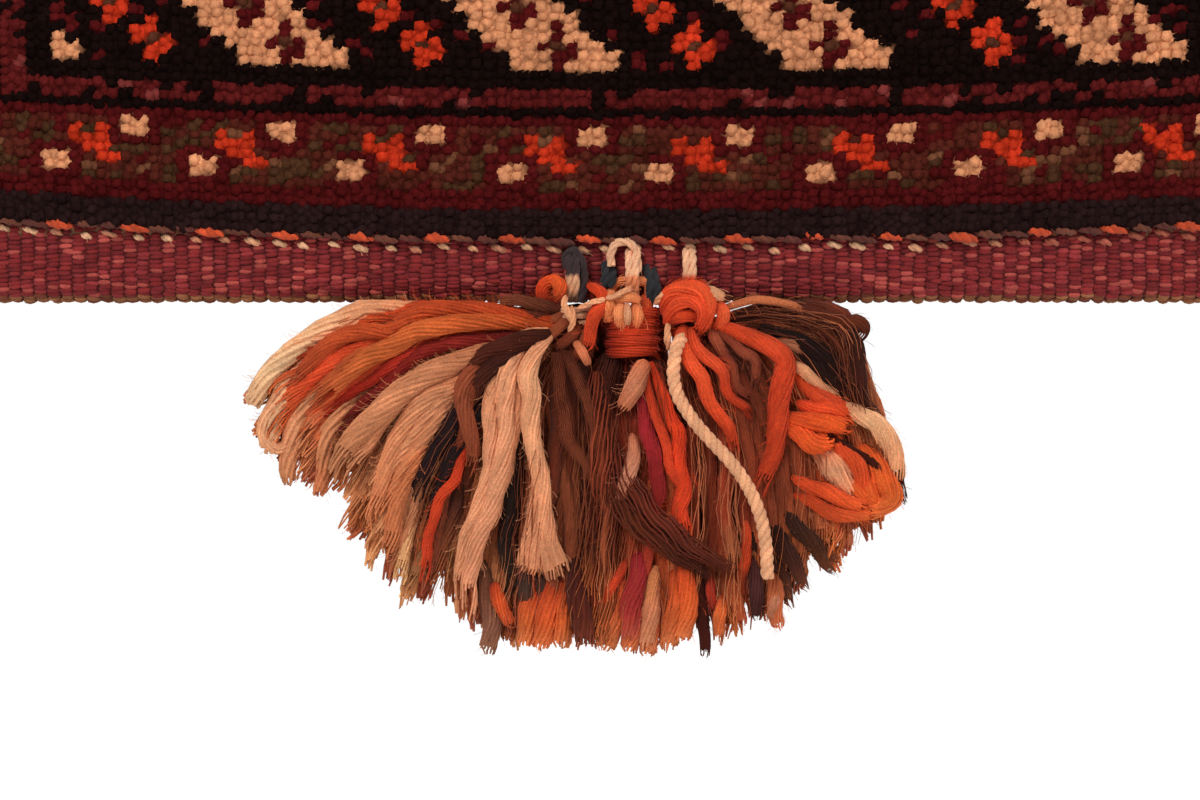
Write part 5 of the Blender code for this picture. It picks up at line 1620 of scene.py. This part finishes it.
RIGHT_RAYS = [
    [(685, 338), (691, 376), (696, 450), (698, 550), (700, 652)],
    [(694, 337), (708, 380), (720, 450), (727, 540), (735, 640)],
    [(698, 336), (724, 375), (746, 440), (756, 520), (765, 628)],
    [(702, 334), (740, 365), (770, 425), (785, 500), (793, 600)],
    [(704, 332), (755, 355), (795, 410), (818, 480), (832, 575)],
    [(706, 330), (765, 345), (815, 385), (846, 450), (864, 540)],
    [(707, 328), (770, 334), (824, 362), (856, 422), (882, 518)],
    [(708, 328), (772, 324), (828, 344), (856, 396), (894, 492)],
    [(709, 325), (775, 314), (830, 324), (852, 360), (880, 436)],
]
RIGHT_SKEINS = {
    "right_orange_skein": ("orange_yarn", 0, 2, 7, (10, 13), [("752c1e", "98442d"), ("51241a", "863c29")], [
        ([(684, 326), (681, 336), (684, 347), (691, 361), (700, 375), (706, 389), (712, 402),
          (720, 416), (728, 430),
          (733, 442), (734, 458)],
           (14, 17, 17, 15), (13, 14, 12, 9), ("d05230", "dc5c36", "d0502c", "b84426")),
        ([(690, 328), (693, 342), (703, 354), (715, 363), (724, 375), (727, 388), (733, 399),
          (743, 409), (753, 422)],
         (14, 17, 16, 14), (12, 12, 9, 7), ("cc4e2c", "d85834", "c84a2a", "ac3c24")),
        ([(714, 575), (711, 594), (713, 610)], (12, 14, 12), (7, 9, 7), ("a03426", "b84030")),
        ([(722, 596), (720, 614), (715, 636)], (12, 15, 12), (9, 12, 9), ("ca5836", "d8743f", "c8754c")),
        ([(745, 520), (748, 545), (743, 564), (741, 578), (747, 604)], (13, 15, 13), (8, 9, 8),
         ("b84a2c", "c04a2a", "863e27")),
    ]),
    "right_umber_skein": ("brown_hair", 2, 4, 9, (10, 14), [("632c1e", "88442d"), ("462218", "86462d")], [
        ([(704, 322), (730, 338), (741, 352), (752, 361), (757, 377), (758, 390)],
         (13, 16, 14), (9, 11, 8), ("7a3426", "94503a", "7c3c2c")),
        ([(715, 345), (733, 365), (739, 388), (754, 400)],
         (13, 15, 13), (8, 10, 8), ("7a3628", "8a4632", "6a3024")),
        ([(700, 560), (701, 608), (705, 634), (707, 655)],
         (12, 15, 12), (8, 11, 8), ("3a1611", "3e1812", "512016")),
        ([(724, 560), (736, 590), (744, 625)], (12, 14, 12), (9, 13, 10), ("753421", "b05a3a", "b96245")),
        ([(750, 555), (756, 590), (760, 618)], (12, 15, 12), (9, 13, 10), ("402223", "462829", "402423")),
        ([(768, 560), (774, 595), (779, 628)], (12, 15, 12), (10, 15, 12), ("753421", "c2704a", "c6724e")),
        ([(776, 530), (782, 560), (788, 590)], (11, 13, 11), (10, 14, 10), ("391a14", "401e16", "51261c")),
        ([(764, 516), (788, 552), (810, 592)],
         (12, 15, 13), (12, 17, 14, 5), ("20120f", "2c1814", "442620", "7a4a34")),
        ([(778, 506), (810, 542), (838, 576)],
         (12, 15, 13), (12, 16, 13, 4), ("281612", "34201a", "50301f", "8a5238")),
        ([(748, 530), (776, 566), (794, 610)],
         (12, 14, 13), (12, 16, 13, 5), ("281612", "34201a", "4c2c22", "80503a")),
        ([(772, 584), (775, 600), (772, 618)], (14, 16, 14), (7, 9, 7), ("a8705a", "c4886c", "a06850")),
    ]),
    "right_red_skein": ("orange_yarn", 4, 5, 5, (10, 13), [("863a25", "b9603b"), ("632c1e", "984c34")], [
        ([(706, 322), (735, 330), (760, 342), (775, 350), (784, 361), (783, 378), (778, 400),
          (776, 425), (773, 448),
          (766, 472), (760, 488), (758, 502)], (14, 17, 17, 16, 14), (12, 18, 19, 17, 12),
         ("bc4424", "d05230", "c84a2a", "c04828", "b84628")),
    ]),
    "right_loop_skein": ("orange_yarn", 5, 7, 9, (9, 12), [("86442d", "c08460"), ("633021", "c66038")], [
        ([(772, 352), (795, 375), (811, 391), (820, 398), (838, 406), (849, 412), (855, 424)],
         (13, 16, 14), (10, 14, 12), ("b8421f", "cc5230", "c04a2a")),
        ([(790, 520), (822, 548), (842, 560)], (10, 12, 11), (10, 13, 5), ("402018", "5c3024", "8a5238")),
        ([(796, 402), (817, 409), (835, 409), (853, 417)], (14, 17, 15), (10, 15, 11), ("cc4a28", "de5a30")),
        ([(776, 416), (801, 423), (826, 420), (853, 426)], (13, 17, 15), (12, 21, 15), ("cc5028", "e0662f")),
        ([(784, 424), (797, 434), (809, 443), (823, 443), (834, 436)],
         (14, 17, 15), (13, 20, 16), ("d0562c", "e0662f")),
        ([(834, 434), (842, 449), (857, 466), (865, 482), (868, 500)],
         (13, 16, 14), (10, 15, 12), ("c04a28", "dc5e30")),
        ([(856, 444), (874, 462), (890, 486), (886, 504), (862, 514)], (12, 15, 15, 12), (12, 20, 20, 15),
         ("cc5a2c", "dc6c34", "e08048")),
        ([(850, 462), (866, 482), (874, 504), (856, 512)],
         (11, 14, 13, 11), (12, 20, 18, 13), ("c05028", "d46430", "dc7640")),
        ([(792, 476), (809, 486), (831, 492), (852, 502), (868, 507)],
         (13, 16, 14), (10, 15, 11), ("c04a28", "d85a2f", "d86a38")),
        ([(794, 494), (811, 502), (836, 512), (857, 516), (878, 514)],
         (13, 15, 13), (10, 15, 11), ("b84424", "d05a30", "d87440")),
        ([(806, 440), (832, 462), (860, 488), (884, 502), (898, 494)], (11, 14, 12), (11, 18, 12),
         ("b85a30", "d46632", "e08444")),
        ([(812, 446), (830, 462), (846, 478), (856, 492)],
         (12, 14.5, 13), (13, 24, 16), ("c88468", "e8b08c", "dca07c")),
        ([(822, 450), (842, 462), (858, 476)], (12, 14, 13), (12, 20, 14), ("c07c60", "e0a480", "d89874")),
        ([(800, 454), (820, 474), (846, 498), (866, 520)],
         (10, 13, 11), (10, 14, 10), ("a8482c", "cc5c34", "d07a4c")),
        ([(836, 402), (862, 416), (880, 430), (893, 450), (899, 484)], (14, 17, 16, 14), (9, 17, 20, 12),
         ("d8a47e", "ecbb94", "e6b48c", "d29e78")),
        ([(778, 358), (790, 365), (803, 371), (820, 387), (840, 404)],
         (13, 16, 14), (8, 11, 9), ("c89470", "dcaa84")),
        ([(766, 340), (792, 345), (811, 360)], (13, 15, 13), (7, 10, 7), ("98644a", "a97459", "916047")),
    ]),
    "right_brown_skein": ("brown_hair", 7, 8, 6, (10, 13), [("462018", "673223"), ("632c1e", "884630")], [
        ([(712, 314), (740, 302), (769, 300), (795, 303), (806, 313)],
         (13, 15, 13), (6, 8, 6), ("b06c49", "c67e57")),
        ([(760, 306), (804, 310), (839, 321), (858, 319), (867, 326), (862, 334), (850, 337)],
         (12, 15, 13), (9, 13, 9), ("4a2018", "60301f", "50261c")),
        ([(790, 310), (830, 322), (851, 336), (858, 352), (857, 370), (859, 386), (865, 402),
          (878, 424), (891, 441)],
         (12, 15, 15, 13), (11, 15, 13, 9), ("341812", "40201a", "3a1c16")),
        ([(760, 326), (800, 344), (830, 362), (852, 388)],
         (12, 15, 13), (12, 18, 14), ("21120f", "1f110f", "281613")),
        ([(762, 334), (800, 356), (828, 378), (848, 402)],
         (11, 14, 12), (12, 18, 13), ("21120f", "251511", "301a14")),
        ([(826, 380), (860, 400), (872, 413), (882, 429), (895, 446), (900, 466), (902, 486), (905, 504)],
         (14, 16, 14), (7, 7, 4), ("34140f", "40180f", "3a1610")),
        ([(818, 430), (844, 445), (862, 457), (877, 467), (891, 482), (901, 498), (905, 505)],
         (14, 16, 14), (7, 8, 3), ("3a1610", "421a12", "3a1610")),
    ]),
    "right_dark_back_skein": ("brown_hair", 0, 5, 30, (3, 10), [("321510", "5e3022"), ("3c1a14", "7a4430"),
                                                              ("421c14", "904a2c")], [
        # Near-black strands near the bag: partly brown hair, partly painted shadow in the gap beside the
        # centre tassel.
        ([(699, 486), (706, 530), (712, 580)], (4, 5, 5), (14, 18, 16), ("38180f", "48201a", "38180f")),
        ([(674, 352), (682, 400), (687, 450), (692, 500)],
         (4, 4, 4, 4), (16, 22, 22, 16), ("38180f", "48201a", "38180f")),
    ]),
    "right_tan_back_skein": ("tan_yarn", 4, 8, 30, (3, 10), [("864832", "c8895f"), ("753c29", "c2744a"),
                                                           ("984c30", "d89c70"), ("8a3c28", "c8683c")], [
        ([(800, 430), (824, 456), (846, 480), (862, 503)], (10, 12, 11), (10, 13, 10), ("c67450", "d08c68")),
        ([(782, 450), (800, 478), (822, 512)], (10, 12, 11), (10, 13, 10), ("b96847", "c88462")),
        ([(800, 505), (822, 520), (842, 530)], (9, 12, 10), (8, 11, 8), ("ca7859", "d08e74")),
    ]),
}
RIGHT_HEAD = [
    ([(673, 336), (669, 312), (671, 293), (678, 283), (689, 281), (700, 283), (707, 293),
      (710, 312), (704, 336)],
     (9.4, 9.8, 9.8, 9.8, 9.4), (9, 9, 9, 9), ("8a3020", "b84426", "983422")),
    ([(664, 314), (668, 298), (681, 290), (699, 292), (708, 304), (704, 322), (692, 334)],
     (13, 16.5, 17.5, 17, 14), (13, 17, 18, 16, 13), ("c44222", "e05a34", "e46038", "cc4a28")),
    ([(666, 324), (676, 308), (692, 302), (703, 314), (698, 332)],
     (14, 17, 18, 15), (13, 17, 16, 12), ("c04022", "dc5632", "d85230", "bc4022")),
    ([(701, 293), (711, 295), (722, 299)], (14, 17, 15), (11, 14, 10), ("dca680", "e4b48e", "d09a76")),
    ([(708, 300), (720, 308), (724, 320), (718, 332)],
     (13, 16, 14), (10, 14, 11), ("c24626", "d8623c", "bc4828")),
    ([(668, 323), (682, 317), (698, 315)], (13, 16, 14), (10, 14, 11), ("b03a20", "c84a28", "b03c22")),
    ([(672, 330), (686, 336), (702, 332)], (12, 14, 12), (11, 14, 11), ("8a2e1e", "9a3822", "7a2c1e")),
    # Partly brown hair, partly painted shadow: a dark strand filling the gap beside the centre tassel's wrap.
    ([(668, 306), (661, 320), (660, 345), (667, 372), (680, 404)],
     (2.5, 1.8, 1.8, 3, 7), (10, 16, 17, 15, 12), ("512418", "632c1e", "512418")),
    ([(680, 332), (680, 352), (688, 384), (694, 420)],
     (9, 11, 11, 10), (11, 15, 15, 12), ("512418", "753623", "632c1e")),
    ([(708, 318), (724, 330), (742, 350)], (11, 14, 12), (9, 12, 10), ("632c1e", "86442d", "753623")),
    ([(706, 322), (716, 340), (728, 362)], (11, 14, 12), (9, 12, 10), ("753623", "98523c", "753623")),
    ([(666, 314), (678, 322), (700, 324), (709, 315)],
     (9, 8, 8, 9), (13, 16, 16, 13), ("963020", "aa3c24", "963020")),
    # A thick dark strand behind the head: partly hair, partly painted shadow.
    ([(690, 314), (690, 330), (692, 356)], (9, 9, 10), (26, 40, 36), ("63241a", "6a2a1e", "512016")),
]
RIGHT_TIE_ENDS = [
    ([(655, 304), (663, 297), (672, 291)], (13, 16, 15), (6, 8, 6), ("d8a682", "dcaa84")),
    ([(668, 322), (667, 338), (668, 352)], (14, 17, 15), (6, 8, 6), ("d8a682", "dcaa84")),
]

make_skeins("tassel_right", RIGHT_SKEINS, RIGHT_RAYS, LOOSE, 34)
headed("right", RIGHT_HEAD)
tied("right", RIGHT_TIE_ENDS)
hair_over("tassel_right", RIGHT_RAYS, 26, [("633423", "864e34"), ("864e36", "b97452"), ("512a1e", "75402d")],
          43)

# Overcast bindings
# Dark goat-hair and wool yarn sewn over the edges of the body and the neck, each turn lying
# close to the next, with a few turns of faded red.

OVERCAST_PITCH = 0.0024
OVERCAST_GIRTH = 0.0027
OVERCAST_FRONT = -0.0042
OVERCAST_BACK = 0.0044
OVERCAST_INWARD = 0.0040
OVERCAST_OUTWARD = 0.0010
OVERCAST_DYES = ("3a201a", "452820", "2e1a17", "4c2c22")
OVERCAST_ACCENT = "6e2a22"
ACCENT_EVERY = 16
TURN_STEPS = 6
CORNER_STEPS = 8
SEWN = {"Plies": 2, "Ply Sides": 5, "Ply Share": 0.62, "Lay Share": 0.42, "Turns": 150.0, "Wander": 0.2,
        "Core Share": 0.45, "Core Sides": 5, "Hairs": 2.5e5, "Hair Length": 0.0018, "Hair Width": 0.00006,
        "Fray": 0.0}


def evenly(route, step):
    """Places a step apart along a route."""
    places, left = [], 0.0
    for a, b in zip(route, route[1:]):
        reach = (b - a).length
        while left < reach:
            places.append(a.lerp(b, left / reach))
            left += step
        left -= reach
    return places


def overcast(name, node, route, inward, draw):
    """One coil of yarn over an edge: each turn goes in front, round the edge and behind."""
    line, dyes = [], []
    middle_y = (OVERCAST_FRONT + OVERCAST_BACK) / 2
    deep = (OVERCAST_BACK - OVERCAST_FRONT - OVERCAST_GIRTH) / 2
    wide = (OVERCAST_INWARD + OVERCAST_OUTWARD) / 2
    for number, spot in enumerate(evenly(route, OVERCAST_PITCH / TURN_STEPS)):
        turn, step = divmod(number, TURN_STEPS)
        angle = 2 * math.pi * step / TURN_STEPS
        into = inward(spot)
        centre = spot + into * (wide - OVERCAST_OUTWARD)
        line.append(Vector((centre.x, middle_y, centre.z)) + into * wide * math.cos(angle)
                    + Vector((0, deep * math.sin(angle), 0)))
        if step == 0:
            colour = dyed(OVERCAST_ACCENT if turn % ACCENT_EVERY < 2 else draw.choice(OVERCAST_DYES))
        dyes.append(colour)
    strand = (line, [OVERCAST_GIRTH] * len(line), dyes)
    piece = grown(yarn_guide(name, [strand]), spinning, {"Material": binding_wool, **SEWN})
    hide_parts(node)
    return piece


def side_route(sign):
    """Round the upper corner from the shoulder and down one side."""
    turn = BODY_WIDTH / 2 - CORNER_RADIUS
    route = []
    for k in range(CORNER_STEPS + 1):
        angle = math.pi / 2 * k / CORNER_STEPS
        route.append(Vector((sign * (turn + CORNER_RADIUS * math.sin(angle)), 0,
                             CORNER_RADIUS * (math.cos(angle) - 1))))
    return route + [Vector((sign * BODY_WIDTH / 2, 0, -BODY_HEIGHT))]


def side_inward(spot):
    """Towards the cloth from a place on the side or on the rounded corner."""
    low = -CORNER_RADIUS
    if spot.z < low:
        return Vector((-math.copysign(1, spot.x), 0, 0))
    centre = Vector((math.copysign(BODY_WIDTH / 2 - CORNER_RADIUS, spot.x), 0, low))
    return (centre - spot).normalized()


binding_wool = wool("goat hair and wool overcasting", fibre=0.0004)
binding_draw = random.Random(17)
SHOULDER_FROM = 0.0972
SHOULDER_TO = 0.1757
for side, sign in (("left", -1), ("right", 1)):
    piece = overcast(side + "_side_overcasting", side + "_side_binding", side_route(sign), side_inward,
                     binding_draw)
    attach(piece, "bag")
    shoulder = [Vector((sign * x, 0, 0)) for x in even(SHOULDER_FROM + OVERCAST_GIRTH / 2, SHOULDER_TO, 12)]
    piece = overcast(side + "_shoulder_overcasting", side + "_shoulder_binding", shoulder,
                     lambda spot: Vector((0, 0, -1)), binding_draw)
    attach(piece, "bag")
    edge = sign * NECK_WIDTH / 2
    neck_edge = [Vector((edge, 0, z)) for z in even(CLEARANCE + OVERCAST_GIRTH / 2, NECK_HEIGHT, 20)]
    piece = overcast("neck_" + side + "_overcasting", "neck_" + side + "_binding", neck_edge,
                     lambda spot: Vector((-math.copysign(1, spot.x), 0, 0)), binding_draw)
    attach(piece, "neck")

# Bands round the mouth
# A close coil of dark yarn sewn over the raw upper edge of the neck, one at the front and
# one at the back.

MOUTH_LOW = 0.1620
MOUTH_HIGH = 0.1715
MOUTH_WALL = 0.0012
MOUTH_PITCH = 0.0026
MOUTH_GIRTH = 0.0028
MOUTH_INSET = 0.006
MOUTH_STEPS = 8
MOUTH_OUT = 0.0008
MOUTH_DYES = ("5a2a22", "4a221c", "6a342a", "3c1e1a")


def mouth_edge(x, front):
    """Middle depth of the cloth edge and half its thickness, at the front or the back."""
    if front:
        near, far = ground_outer(x, NECK_HEIGHT), ground_inner(x, NECK_HEIGHT)
    else:
        near, far = 0.0, BACK_THICKNESS
    return (near + far) / 2, (far - near) / 2


def mouth_band(name, node, front, draw):
    """One coil of yarn along the edge of the mouth."""
    reach = NECK_WIDTH / 2 - MOUTH_INSET
    count = round(2 * reach / MOUTH_PITCH)
    line, dyes = [], []
    tall = (MOUTH_HIGH - MOUTH_LOW - MOUTH_GIRTH) / 2
    for number in range(count * MOUTH_STEPS + 1):
        step = number % MOUTH_STEPS
        x = -reach + number * MOUTH_PITCH / MOUTH_STEPS
        middle, thick = mouth_edge(x, front)
        angle = 2 * math.pi * step / MOUTH_STEPS
        deep = thick + MOUTH_WALL - MOUTH_GIRTH / 2 + MOUTH_OUT
        line.append(Vector((x, middle + deep * math.sin(angle),
                            (MOUTH_LOW + MOUTH_HIGH) / 2 + tall * math.cos(angle))))
        if step == 0:
            colour = dyed(draw.choice(MOUTH_DYES))
        dyes.append(colour)
    piece = grown(yarn_guide(name, [(line, [MOUTH_GIRTH] * len(line), dyes)]), spinning,
                  {"Material": binding_wool, **SEWN})
    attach(piece, "neck")
    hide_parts(node)


mouth_draw = random.Random(19)
mouth_band("mouth_band_front", "mouth_binding_front", True, mouth_draw)
mouth_band("mouth_band_back", "mouth_binding_back", False, mouth_draw)

bpy.context.scene.view_settings.view_transform = "Standard"
